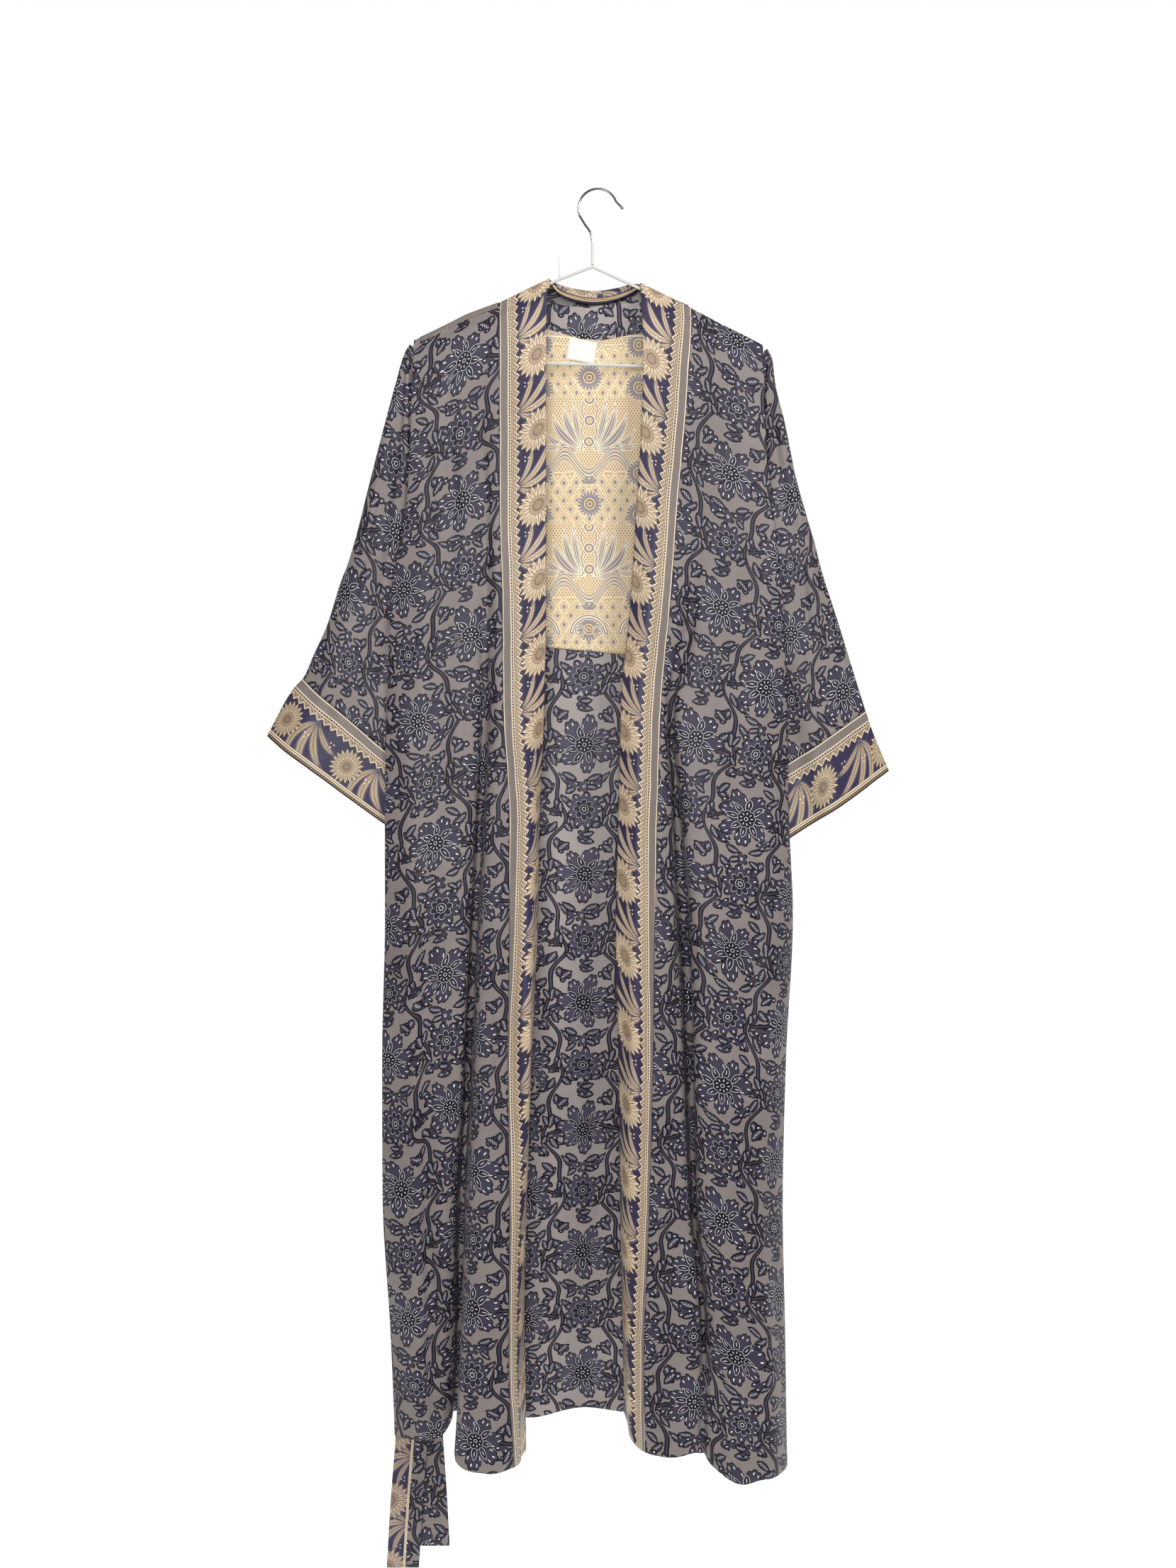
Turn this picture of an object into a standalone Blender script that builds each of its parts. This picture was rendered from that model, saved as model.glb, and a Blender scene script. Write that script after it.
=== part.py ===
# Long open robe hanging on a wire hanger.
# Millimetres in the tables, metres in the finished meshes. +X is to the right of someone who looks
# at the front, -Y is the front, +Z is up. The origin is where the hook rests on its support.
import math

import bpy
import numpy as np

MM = 0.001
CLOTH = 1.2
BAND_CLOTH = 1.8
NECK_CLOTH = 1.2
BELT_CLOTH = 2.0
SEAM_GAP = 0.3
LAYER_STEP = 1.9

# Hanger
HOOK_WIRE = 1.3
FRAME_WIRE = 1.8
HOOK_RADIUS = 22.7
HOOK_CENTRE = (0.4, HOOK_WIRE - HOOK_RADIUS)
HOOK_TIP_ANGLE = 20
HOOK_TURN_ANGLE = 200
HOOK_TIP = (28.4, -20.2)
HOOK_STEM = ((-14.5, -39.5), (-8.4, -48.2), (-6.2, -58.6))
BALL_RADIUS = 2.0
BALL_TURNS = (20, 55, 90, 125, 140)
NECK_RADIUS = 1.9
NECK_TOP = -58.9
NECK_FOOT = -85.0
NECK_X = -5.8
PEAK = (-5.7, -87.4)
LEFT_SHOULDER_WIRE = ((-43.7, -101.2), (-113.0, -131.6), (-184.0, -161.6))
RIGHT_SHOULDER_WIRE = ((52.2, -113.4), (102.0, -136.4), (129.0, -150.4), (161.0, -165.6))
LEFT_LOOP = (-208.0, -184.2, 9.6)
LEFT_LOOP_TURN = (112, 270)
RIGHT_LOOP = (182.0, -192.6, 12.0)
RIGHT_LOOP_TURN = (-90, 66)
LOOP_POINTS = 8
BEND_POINTS = 19
WIRE_STEPS = 3
NOTCH = (-44.1, -98.6, -75.0, 1.25)

# Shoulder line: the outline of the cloth over the hanger, from side to side
SHOULDER_X = (-222, -214, -184, -152, -113, -54, 0, 47, 102, 129, 171, 192, 200)
SHOULDER_Z = (-177, -171.5, -158, -142, -128, -100, -112, -104.5, -131, -145.6, -165.6, -176.5, -182)

# Armhole and side seams, from the shoulder down, with the depth of the back's edge
SEAM_Z = (-172, -190, -223, -281, -353, -420, -452, -478, -1520)
LEFT_SEAM_X = (-214.6, -213.4, -206, -194, -191, -190, -190, -190, -190)
RIGHT_SEAM_X = (193.4, 192.0, 185, 178, 176, 175, 175, 175, 175)

# Over the hanger the cloth rolls from the shoulder seam to its hanging face:
# drop below the shoulder line, and depth in front of it or behind it
ROLL = ((0.0, 0.2), (0.9, 1.95), (2.75, 2.85), (11.0, 4.6))

# Front panels. Each row is a level with the share of the shoulder's slope that the row keeps.
FRONT_COLUMNS = ("seam", "turn", "fold", "bulge", "groove", "ridge", "lip", "floor", "foot", "flap",
                 "crest", "ribbon", "curl", "edge")
FRONT_STEPS = (2, 2, 3, 2, 2, 2, 2, 1, 2, 2, 2, 2, 2)
FOLD = FRONT_COLUMNS.index("fold")
RIBBON = FRONT_COLUMNS.index("ribbon")
LEVELS = (-120, -207, -272, -354, -478, -602, -727, -853, -1020, -1190, -1362)
NECK_LEVEL = -101
SLOPE_SHARES = (1.0, 0.50, 0.22, 0.0, 0.0, 0.0, 0.0, 0.0, 0.0, 0.0, 0.0)
LEFT_TOP_X = (-214.6, -213.8, -213.0, -192, -167, -155, -144, -140, -136, -129, -122, -113.5, -88, -56)
LEFT_X = (
    (-214.5, -214.5, -214.0, -192, -167, -155, -144, -140, -136, -129, -122, -113.7, -88, -58),
    (-206, -214, -217, -192, -167, -155, -144, -140, -136, -129, -122, -114, -88.5, -60),
    (-194, -214, -219, -191, -168, -153, -141, -137, -133, -128, -120, -114, -88.5, -60),
    (-191, -216, -223, -191, -168, -155, -141, -136, -131, -126, -120, -114, -88.5, -60),
    (-190, -233, -243, -201, -176, -160, -141, -135, -130, -125, -118, -111, -85.5, -60.7),
    (-190, -238, -249, -210, -183, -162, -140, -136, -130, -123, -116, -110, -85, -63.6),
    (-190, -240, -252, -214, -190, -169, -146, -142, -136, -128, -115, -103, -79, -70),
    (-190, -241, -253, -215, -198, -174, -152, -149, -143, -134, -116, -103, -80, -72),
    (-190, -245, -258, -217, -204, -179, -161, -158, -152, -141, -118, -105, -82, -77),
    (-190, -246, -259, -215, -203, -181, -169, -166, -160, -152, -126, -103, -88, -82),
    (-190, -238, -251, -210, -198, -183, -173, -171, -165, -159, -126, -104, -91, -87),
)
LEFT_Y = (
    (-4.5, -6.0, -7.8, -9, -9, -9, -9, -9, -9, -9, -9, -9, -9, -9),
    (-4.6, -5.6, -8.4, -11, -11, -12, -12, -12, -12, -12, -12, -12, -12, -10),
    (-4.6, -5.6, -8.4, -13, -13, -14, -14, -13, -13, -14, -15, -15, -16, -12),
    (-4.7, -6.0, -8.4, -16, -15, -17, -17, -15, -15, -18, -19, -19, -20, -13),
    (-4.9, -7.5, -10, -21, -20, -22, -21, -18, -18, -22, -25, -25, -27, -13),
    (-5.0, -8.0, -11, -26, -24, -27, -24, -15, -15, -26, -30, -29, -32, -12),
    (-5.0, -8.5, -12, -29, -26, -30, -26, -12, -12, -34, -38, -36, -40, -12),
    (-5.0, -8.5, -13, -32, -28, -32, -28, -12, -12, -40, -46, -43, -47, -18),
    (-5.0, -8.5, -13, -34, -30, -35, -30, -12, -12, -48, -54, -51, -57, -28),
    (-5.0, -8.5, -14, -36, -31, -36, -31, -12, -12, -57, -65, -62, -47, -20),
    (-5.0, -8.5, -14, -37, -32, -36, -29, -12, -12, -64, -73, -70, -53, -27),
)
LEFT_HEM = (
    (-190, -236, -247, -213, -197, -186, -176, -173, -167, -168, -129, -98, -89.5, -86.6),
    (-5.0, -8.5, -14, -36, -32, -34, -26, -13, -14, -66, -76, -73, -57, -32),
    (-1484, -1486, -1488, -1480, -1481, -1474, -1460, -1450, -1452, -1487, -1495, -1490, -1493, -1495),
)
RIGHT_TOP_X = (193.4, 192.6, 191.8, 177, 162, 146, 130, 126, 122, 117, 113, 109, 83, 50)
RIGHT_X = (
    (193.3, 193.3, 192.8, 177, 162, 146, 130, 126, 122, 117, 113, 109, 83, 51),
    (184, 190, 195, 177, 162, 146, 130, 126, 122, 117, 111, 105, 80.5, 53),
    (178, 191, 197, 181, 164, 146, 131, 125, 121, 115, 106, 101, 76.5, 51),
    (176, 196, 204, 186, 167, 144, 129, 123, 117, 111, 101, 94, 69.5, 46.5),
    (175, 208, 218, 192, 168, 142, 122, 114, 109, 102, 93, 85, 60.5, 39),
    (175, 213, 224, 197, 170, 138, 94, 90, 84, 80, 77, 74, 50, 28),
    (175, 216, 227, 200, 172, 138, 102, 97, 91, 85, 77, 70, 46, 26),
    (175, 222, 233, 205, 176, 142, 112, 106, 100, 91, 77, 67, 43.5, 23),
    (175, 214, 226, 199, 174, 146, 118, 115, 109, 99, 84, 65, 43.5, 25.5),
    (175, 210, 223, 198, 172, 146, 120, 117, 112, 107, 88, 61, 42, 26.5),
    (175, 214, 227, 201, 177, 155, 131, 128, 124, 119, 89, 55, 41, 31),
)
RIGHT_Y = (
    (-4.5, -6.0, -7.8, -9, -9, -9, -9, -9, -9, -9, -9, -9, -9, -9),
    (-4.6, -5.6, -8.4, -11, -12, -12, -12, -12, -12, -12, -12, -12, -12.5, -10),
    (-4.6, -5.6, -8.4, -13, -14, -15, -15, -14, -14, -15, -15, -15, -16, -12),
    (-4.7, -6.0, -8.4, -16, -17, -19, -18, -17, -17, -18, -19, -19, -21, -13),
    (-4.9, -7.5, -10, -21, -22, -25, -23, -20, -20, -23, -24, -24, -27, -13),
    (-5.0, -8.0, -11, -26, -27, -31, -27, -17, -17, -25, -28, -28, -31, -17),
    (-5.0, -8.5, -12, -32, -33, -38, -33, -13, -13, -29, -33, -33, -37, -17),
    (-5.0, -8.5, -13, -38, -40, -46, -40, -12, -12, -34, -38, -38, -42, -20),
    (-5.0, -8.5, -15, -45, -47, -55, -48, -16, -16, -42, -46, -44, -50, -26),
    (-5.0, -9.0, -18, -53, -56, -64, -56, -26, -26, -50, -53, -50, -56, -30),
    (-5.0, -10, -22, -61, -64, -71, -63, -46, -46, -58, -60, -56, -62, -34),
)
RIGHT_HEM = (
    (175, 216, 230, 207, 188, 162, 132, 127, 122, 116, 80, 56, 43, 32),
    (-5.0, -11, -26, -64, -69, -75, -64, -54, -54, -58, -62, -57, -60, -34),
    (-1500, -1508, -1514, -1509, -1509, -1508, -1492, -1485, -1485, -1482, -1484, -1482, -1468, -1446),
)

# Each panel is made in parts with hairline gaps between them, so that no part bends round the
# wearer's space: its top part over the hanger, its side folds, and what hangs between them
TOP_END = len(ROLL) + LEVELS.index(-207)
UNDERARM = len(ROLL) + LEVELS.index(-478)

# Back panel. The lines of its side folds, seam first: how far in from the seam each one lies,
# its share of the fold's reach outward, and its share of the depth of the panel behind the seam.
FOLD_LINES = ("seam", "bend", "return", "under", "fold", "outer")
FOLD_INSET = (0.0, 6.2, 7.8, 8.4, 9.5, 14.0)
FOLD_REACH = (0.0, 0.0, 0.1, 1.0, 1.2, 1.03)
FOLD_DEPTH = (0.0, 0.17, 0.5, 0.62, 0.74, 0.92)
# A row for each level: the depth of both seams, the reach of the left and right fold, and the
# depth of the left and right fold's outer layer
BACK_SIDES = (
    (2.9, 0, 0, 4.4, 4.4),
    (4.4, 0, 0, 7.0, 7.0),
    (5.6, 0, 0, 10.0, 10.2),
    (7.0, 0, 0, 13.4, 13.4),
    (-4.6, 0, 0, 16.5, 17),
    (-4.6, 0, 0, 20, 20),
    (-4.6, 2, 2, 23, 24),
    (-4.6, 22, 18, 27, 27),
    (-4.6, 42, 36, 30, 30),
    (-4.6, 54, 44, 32, 32),
    (-4.6, 55, 48, 33, 34),
    (-4.6, 54, 48, 33, 34),
)
# The lines between the side folds, from left to right: wide, flank, wire, rib, spine and so on
BACK_LINE_X = (-162, -126, -110, -82, -12, 48, 94, 112, 147)
NECK_LINES = (2, 6)
BACK_STEPS = (2, 2, 2, 2, 2, 2, 2, 1, 2, 3, 3, 2, 1, 2, 2, 2, 2, 2, 2, 2)
BACK_TOP_Y = (0.2, 0.2, 3.0, 6.0, 14.8, 7.6, 3.0, 0.2, 0.2)
BACK_TOP_DROP = (0.0, 0.3, 3.5, 13.0, 19.0, 18.0, 3.5, 0.3, 0.0)
BACK_Y = (
    (5.4, 6.2, 6.8, 9.4, 15.4, 10.4, 7.2, 6.4, 5.4),
    (8.4, 10.2, 11.4, 13.4, 16.0, 13.4, 11.1, 10.2, 8.4),
    (11.0, 12.4, 13.3, 14.8, 16.4, 14.8, 13.2, 12.6, 11.0),
    (14.4, 15.6, 15.9, 16.4, 17.0, 16.6, 16.0, 15.8, 14.4),
    (18.2, 19.0, 18.8, 18.4, 18.6, 19.4, 19.8, 20.0, 18.6),
    (21.8, 22.0, 21.1, 19.6, 20.6, 22.0, 22.7, 23.0, 22.0),
    (25.2, 24.4, 22.9, 20.4, 23.2, 24.6, 25.6, 26.0, 26.0),
    (29.0, 27.0, 24.8, 21.0, 26.2, 26.6, 28.3, 29.0, 29.4),
    (32.0, 29.0, 26.1, 21.0, 30.0, 28.0, 30.9, 32.0, 32.4),
    (34.6, 31.4, 27.5, 20.6, 34.0, 29.6, 32.8, 34.0, 35.0),
    (36.2, 33.4, 28.5, 20.0, 37.0, 31.0, 34.6, 36.0, 36.6),
    (36.4, 34.4, 29.2, 20.0, 38.0, 32.0, 35.6, 37.0, 37.0),
)
BACK_HEM_Z = (-1484, -1484, -1486, -1487, -1490, -1489, -1487, -1486, -1487, -1487, -1484, -1487,
              -1489, -1490, -1492, -1496, -1500, -1500, -1498, -1499, -1500)

# Sleeves: the share of the way from the inner to the outer edge of each line round the tube, which
# are seam, near, hollow, tuck, groove, face, outer, heel, rear, near rear and join, then a row for
# each station with both edges and the depth at each line
SLEEVE_PLACES = (0.0, 0.04, 0.37, 0.53, 0.66, 0.84, 1.0, 0.86, 0.45, 0.04, 0.0)
SLEEVE_STEPS = (1, 3, 2, 2, 2, 2, 2, 3, 3, 1)
LEFT_SLEEVE_EDGES = (
    (-219.6, -176.4, -215.9, -179.4),
    (-225.4, -186.0, -215.2, -189.0),
    (-236.4, -221.0, -207.4, -223.0),
    (-252.4, -277.0, -195.4, -281.0),
    (-271.4, -347.0, -192.2, -353.0),
    (-288.0, -408.0, -191.2, -430.0),
    (-296.0, -432.0, -192.2, -462.0),
    (-303.4, -450.0, -194.6, -500.0),
    (-321.4, -504.0, -199.0, -590.0),
    (-337.4, -538.0, -204.0, -650.0),
    (-350.6, -566.0, -208.0, -690.0),
    (-361.0, -577.0, -213.0, -703.0),
    (-394.0, -634.0, -246.0, -746.0),
)
LEFT_SLEEVE_Y = (
    (-2.7, -2.7, -2.4, -2.0, -1.5, -0.8, 0.0, 0.9, 2.0, 2.7, 2.7),
    (-2.75, -2.75, -3.0, -4.8, -3.8, -3.4, 0.0, 3.2, 3.4, 3.0, 3.0),
    (-2.75, -2.75, -3.0, -7.6, -4.4, -6.0, 0.0, 5.6, 6.2, 4.8, 4.8),
    (-2.75, -2.75, -3.2, -8.6, -4.4, -8.0, 0.5, 7.6, 8.6, 5.8, 5.8),
    (-2.8, -2.8, -3.4, -9.6, -4.8, -9.4, 1.0, 9.4, 10.6, 7.2, 7.0),
    (-2.8, -2.9, -3.8, -10.0, -5.4, -10.6, 1.5, 11.4, 12.4, 6.4, 5.4),
    (-0.6, -2.7, -4.2, -9.8, -6.0, -10.8, 1.8, 12.0, 13.0, 5.4, 3.6),
    (1.2, -2.2, -5.0, -9.2, -6.8, -11.0, 2.0, 12.6, 13.4, 6.0, 2.6),
    (1.9, -2.0, -6.2, -8.8, -8.0, -11.2, 2.0, 13.4, 14.0, 6.6, 3.1),
    (1.9, -2.0, -7.0, -9.2, -9.4, -11.4, 2.0, 14.0, 14.6, 6.8, 3.1),
    (1.9, -2.0, -7.8, -10.0, -10.6, -11.6, 2.0, 14.4, 15.0, 6.8, 3.1),
    (1.9, -2.0, -8.2, -10.4, -11.0, -12.0, 2.0, 14.8, 15.4, 6.8, 3.1),
    (1.9, -2.0, -9.0, -11.4, -12.2, -13.0, 2.0, 15.6, 16.2, 6.8, 3.1),
)
RIGHT_SLEEVE_EDGES = (
    (198.6, -181.2, 194.9, -184.2),
    (203.8, -191.0, 193.8, -194.0),
    (208.6, -223.0, 186.6, -226.0),
    (219.4, -264.0, 180.4, -270.0),
    (234.4, -332.0, 177.6, -340.0),
    (249.4, -382.0, 176.2, -420.0),
    (257.0, -407.0, 177.0, -456.0),
    (264.4, -435.0, 179.0, -496.0),
    (283.4, -492.0, 182.0, -570.0),
    (302.4, -551.0, 186.0, -640.0),
    (319.6, -604.0, 190.0, -692.0),
    (326.4, -624.0, 191.6, -711.0),
    (348.4, -676.0, 198.0, -778.0),
)
RIGHT_SLEEVE_Y = (
    (-2.7, -2.7, -2.4, -2.0, -1.5, -0.8, 0.0, 0.9, 2.0, 2.7, 2.7),
    (-2.75, -2.75, -3.0, -4.2, -3.8, -3.2, 0.0, 3.2, 3.4, 3.0, 3.0),
    (-2.75, -2.75, -3.0, -5.6, -4.4, -5.0, 0.0, 5.4, 6.2, 4.8, 4.8),
    (-2.75, -2.75, -3.2, -6.8, -4.6, -6.6, 0.5, 7.0, 8.0, 5.6, 5.6),
    (-2.8, -2.8, -3.4, -8.0, -5.0, -8.6, 1.0, 9.4, 10.4, 7.0, 6.8),
    (-2.8, -2.9, -3.8, -8.8, -6.0, -9.8, 1.5, 11.4, 12.4, 6.4, 5.4),
    (-0.6, -2.7, -4.2, -9.2, -7.0, -10.2, 1.8, 12.0, 13.0, 5.4, 3.6),
    (1.2, -2.2, -4.8, -9.6, -8.4, -10.8, 2.0, 12.6, 13.4, 6.0, 2.6),
    (1.9, -2.0, -5.6, -11.6, -11.0, -11.6, 2.0, 13.4, 14.0, 6.6, 3.1),
    (1.9, -2.0, -6.6, -14.0, -13.0, -8.0, 2.0, 14.0, 14.6, 6.8, 3.1),
    (1.9, -2.0, -7.6, -15.6, -15.0, -6.0, 2.0, 14.4, 15.0, 6.8, 3.1),
    (1.9, -2.0, -7.8, -16.0, -15.6, -5.6, 2.0, 14.8, 15.4, 6.8, 3.1),
    (1.9, -2.0, -8.4, -16.8, -17.0, -6.4, 2.0, 15.6, 16.2, 6.8, 3.1),
)
CUFF_STATION = 10

# Back-neck band: a row for each station round the neck with its crest, the lower edge of its
# outer leg, and the drop of its inner leg
NECK_BAND = (
    ((-56.6, 2.4, -101.4), (-112.4, 1.6, -126.8), 2.2),
    ((-54.5, 5.5, -101.4), (-109.0, 10.8, -135.0), 6.0),
    ((-46.0, 9.8, -104.0), (-88.0, 17.0, -152.0), 12.0),
    ((-27.0, 13.6, -107.8), (-46.0, 21.0, -160.0), 15.0),
    ((-3.0, 15.2, -110.0), (-3.0, 22.4, -163.0), 15.5),
    ((22.0, 13.6, -107.2), (38.0, 21.0, -160.0), 15.0),
    ((40.0, 9.8, -104.0), (78.0, 17.0, -153.0), 12.0),
    ((48.5, 5.5, -105.4), (104.0, 11.2, -139.2), 6.0),
    ((51.0, 2.4, -107.4), (106.4, 1.6, -130.8), 2.2),
)
NECK_FOLD = 2.4
NECK_STEPS = 2

# Gold inner panel of the back and the label at its top
FACING_LEFT = -150.0
FACING_RIGHT = 128.0
FACING_TOP_X = (-150, -105, -60, -18, 8, 52, 100, 128)
FACING_TOP_Z = (-172, -158, -155, -166, -167, -160, -164, -172)
FACING_FOOT = (-520.0, -545.0)
FACING_LINES = 15
FACING_ROWS = 9
LABEL_CENTRE = (-18.6, -179.8)
LABEL_SIZE = (34.0, 25.0)
LABEL_TILT = -9.6
LABEL_CLOTH = 1.0
LABEL_LINES = 4
LABEL_ROWS = 3

# Belt, hung doubled over its cord loop: stations of the middle line from the front tail's end up
# over the loop and down to the rear tail's end
BELT_WIDTH = 40.0
BELT_PATH = (
    (-242.0, 4.0, -1670.0),
    (-236.0, 4.0, -1580.0),
    (-228.0, 4.2, -1480.0),
    (-222.0, 4.4, -1300.0),
    (-216.0, 4.6, -1050.0),
    (-212.0, 5.0, -850.0),
    (-211.0, 8.0, -760.0),
    (-211.0, 13.0, -700.0),
    (-211.0, 17.4, -640.0),
    (-211.0, 18.6, -556.0),
    (-211.0, 19.6, -552.2),
    (-211.0, 22.0, -550.4),
    (-211.0, 24.4, -552.2),
    (-211.0, 25.4, -556.0),
    (-210.6, 23.4, -640.0),
    (-210.4, 18.0, -700.0),
    (-210.4, 12.2, -760.0),
    (-210.4, 8.6, -850.0),
    (-211.0, 8.2, -1050.0),
    (-212.0, 8.2, -1300.0),
    (-212.0, 8.4, -1480.0),
    (-207.0, 8.6, -1580.0),
    (-204.0, 8.6, -1645.0),
)
LOOP_RADIUS = 1.1
LOOP_RING = (
    (-186.0, 6.0, -547.0),
    (-186.0, 16.0, -545.0),
    (-189.5, 21.6, -544.4),
    (-212.0, 22.0, -544.6),
    (-232.0, 22.0, -546.0),
    (-237.0, 22.0, -549.8),
    (-232.0, 22.0, -553.6),
    (-212.0, 22.0, -554.6),
    (-189.5, 21.6, -554.4),
    (-186.0, 16.0, -553.0),
    (-186.0, 6.0, -551.0),
)

# Surfaces: colour, roughness and share of metal
SURFACES = {
    "print": ((0.115, 0.10, 0.13), 0.45, 0.0),
    "border": ((0.42, 0.33, 0.20), 0.4, 0.0),
    "gold": ((0.58, 0.42, 0.20), 0.45, 0.0),
    "cream": ((0.85, 0.82, 0.74), 0.6, 0.0),
    "coated wire": ((0.86, 0.86, 0.84), 0.35, 0.0),
    "bright wire": ((0.72, 0.72, 0.72), 0.15, 1.0),
}


def material(kind):
    # One material for each kind of surface, shared by the pieces of one cloth.
    found = bpy.data.materials.get(kind)
    if found:
        return found
    colour, roughness, metallic = SURFACES[kind]
    made = bpy.data.materials.new(kind)
    made.use_nodes = True
    surface = made.node_tree.nodes["Principled BSDF"]
    surface.inputs["Base Color"].default_value = (*colour, 1.0)
    surface.inputs["Roughness"].default_value = roughness
    surface.inputs["Metallic"].default_value = metallic
    return made


def across(points, steps):
    # Rounds each row of points with a centripetal Catmull-Rom curve, each span cut in its steps.
    first = 2 * points[:, :1] - points[:, 1:2]
    last = 2 * points[:, -1:] - points[:, -2:-1]
    padded = np.concatenate([first, points, last], axis=1)
    lengths = np.linalg.norm(np.diff(padded, axis=1), axis=2) ** 0.5 + 1e-6
    knots = np.concatenate([np.zeros((len(points), 1)), np.cumsum(lengths, axis=1)], axis=1)
    made = []
    for span, count in enumerate(steps):
        near = knots[:, span:span + 4, None]
        four = padded[:, span:span + 4]
        for share in np.arange(count) / count:
            made.append(on_span(near, four, near[:, 1:2] + share * (near[:, 2:3] - near[:, 1:2])))
    made.append(points[:, -1])
    return np.stack(made, axis=1)


def on_span(knots, points, place):
    # A place on the middle span of four points, by blending neighbours three times.
    for low, high in ((knots[:, 0:3], knots[:, 1:4]), (knots[:, 0:2], knots[:, 2:4]),
                      (knots[:, 1:2], knots[:, 2:3])):
        points = ((high - place) * points[:, :-1] + (place - low) * points[:, 1:]) / (high - low)
    return points[:, 0]


def normals(grid, flat_ends=()):
    # Unit normals of a grid. At a flat end the wall's rim stands upright over its seam.
    facing = np.cross(course(grid), np.swapaxes(course(np.swapaxes(grid, 0, 1)), 0, 1))
    for row in flat_ends:
        facing[row, :, 1] = 0
    return facing / (np.linalg.norm(facing, axis=2, keepdims=True) + 1e-9)


def course(grid):
    # The direction of each row at its points, halfway between the steps before and after.
    step = np.diff(grid, axis=1)
    step /= np.linalg.norm(step, axis=2, keepdims=True) + 1e-9
    return np.concatenate([step[:, :1], step], axis=1) + np.concatenate([step, step[:, -1:]], axis=1)


def upright_rim(facing):
    # Side seams meet edge to edge, so their rims run straight from front to back.
    return np.stack([np.zeros(len(facing)), np.sign(facing[:, 1]), np.zeros(len(facing))], axis=1)


def drawn_back(grid, edge, gap):
    # Draws the first (0) or last (-1) column of a piece back from its seam by the gap.
    grid = grid.copy()
    pull = grid[:, 1 if edge == 0 else -2] - grid[:, edge]
    grid[:, edge] += pull / np.linalg.norm(pull, axis=1, keepdims=True) * gap
    return grid


def part(name, grid, facing, rows, columns, thickness, surface):
    # One part of a panel, drawn back by half the gap where it meets the next part.
    first_row, last_row = rows
    first, last = columns
    piece = grid[first_row:last_row + 1, first:last + 1]
    if first > 0:
        piece = drawn_back(piece, 0, SEAM_GAP / 2)
    if last < grid.shape[1] - 1:
        piece = drawn_back(piece, -1, SEAM_GAP / 2)
    piece = np.swapaxes(piece, 0, 1)
    if first_row > 0:
        piece = drawn_back(piece, 0, SEAM_GAP / 2)
    if last_row < len(grid) - 1:
        piece = drawn_back(piece, -1, SEAM_GAP / 2)
    piece = np.swapaxes(piece, 0, 1)
    wall(name, piece, thickness, facing[first_row:last_row + 1, first:last + 1], surface)


def wall(name, grid, thickness, facing, surface):
    # A closed wall about the grid of points: two faces half the thickness to each side, and rims.
    rows, columns = grid.shape[:2]
    middle = grid.reshape(-1, 3)
    shift = facing.reshape(-1, 3) * thickness / 2
    points = np.concatenate([middle + shift, middle - shift]) * MM
    index = np.arange(rows * columns).reshape(rows, columns)
    far = rows * columns
    quads = np.stack([index[:-1, :-1], index[1:, :-1], index[1:, 1:], index[:-1, 1:]], axis=-1)
    face = halved(quads.reshape(-1, 4), middle)
    rim = np.concatenate([index[0, :-1], index[:-1, -1], index[-1, :0:-1], index[:0:-1, 0]])
    after = np.roll(rim, -1)
    rims = halved(np.stack([rim, after, after + far, rim + far], axis=1), points)
    triangles = np.concatenate([face, face[:, ::-1] + far, rims])
    mesh = bpy.data.meshes.new(name)
    mesh.from_pydata(points.tolist(), [], triangles.tolist())
    a, b, c = (points[triangles[:, corner]] for corner in range(3))
    if np.sum(a * np.cross(b, c)) < 0:
        mesh.flip_normals()
    mesh.shade_smooth()
    mesh.materials.append(surface)
    return placed(name, mesh)


def halved(quads, points):
    # Each four-sided face is split along its shorter diagonal.
    a, b, c, d = (points[quads[:, corner]] for corner in range(4))
    across_ac = (np.linalg.norm(a - c, axis=1) <= np.linalg.norm(b - d, axis=1))[:, None]
    first = np.where(across_ac, quads[:, [0, 1, 2]], quads[:, [1, 2, 3]])
    second = np.where(across_ac, quads[:, [0, 2, 3]], quads[:, [1, 3, 0]])
    return np.concatenate([first, second])


def placed(name, data):
    made = bpy.data.objects.new(name, data)
    bpy.context.scene.collection.objects.link(made)
    return made


def shoulder(x):
    return np.interp(x, SHOULDER_X, SHOULDER_Z)


def seam_x(z, side_x):
    return np.interp(-z, -np.array(SEAM_Z, float), side_x)


def on_levels(x_rows, y_rows, top_z):
    # The rows at the levels, each following its share of the top edge's slope.
    rows = []
    for level, share, x, y in zip(LEVELS, SLOPE_SHARES, x_rows, y_rows):
        rows.append(np.stack([x, y, level + share * (top_z - NECK_LEVEL)], axis=1))
    return rows


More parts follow.
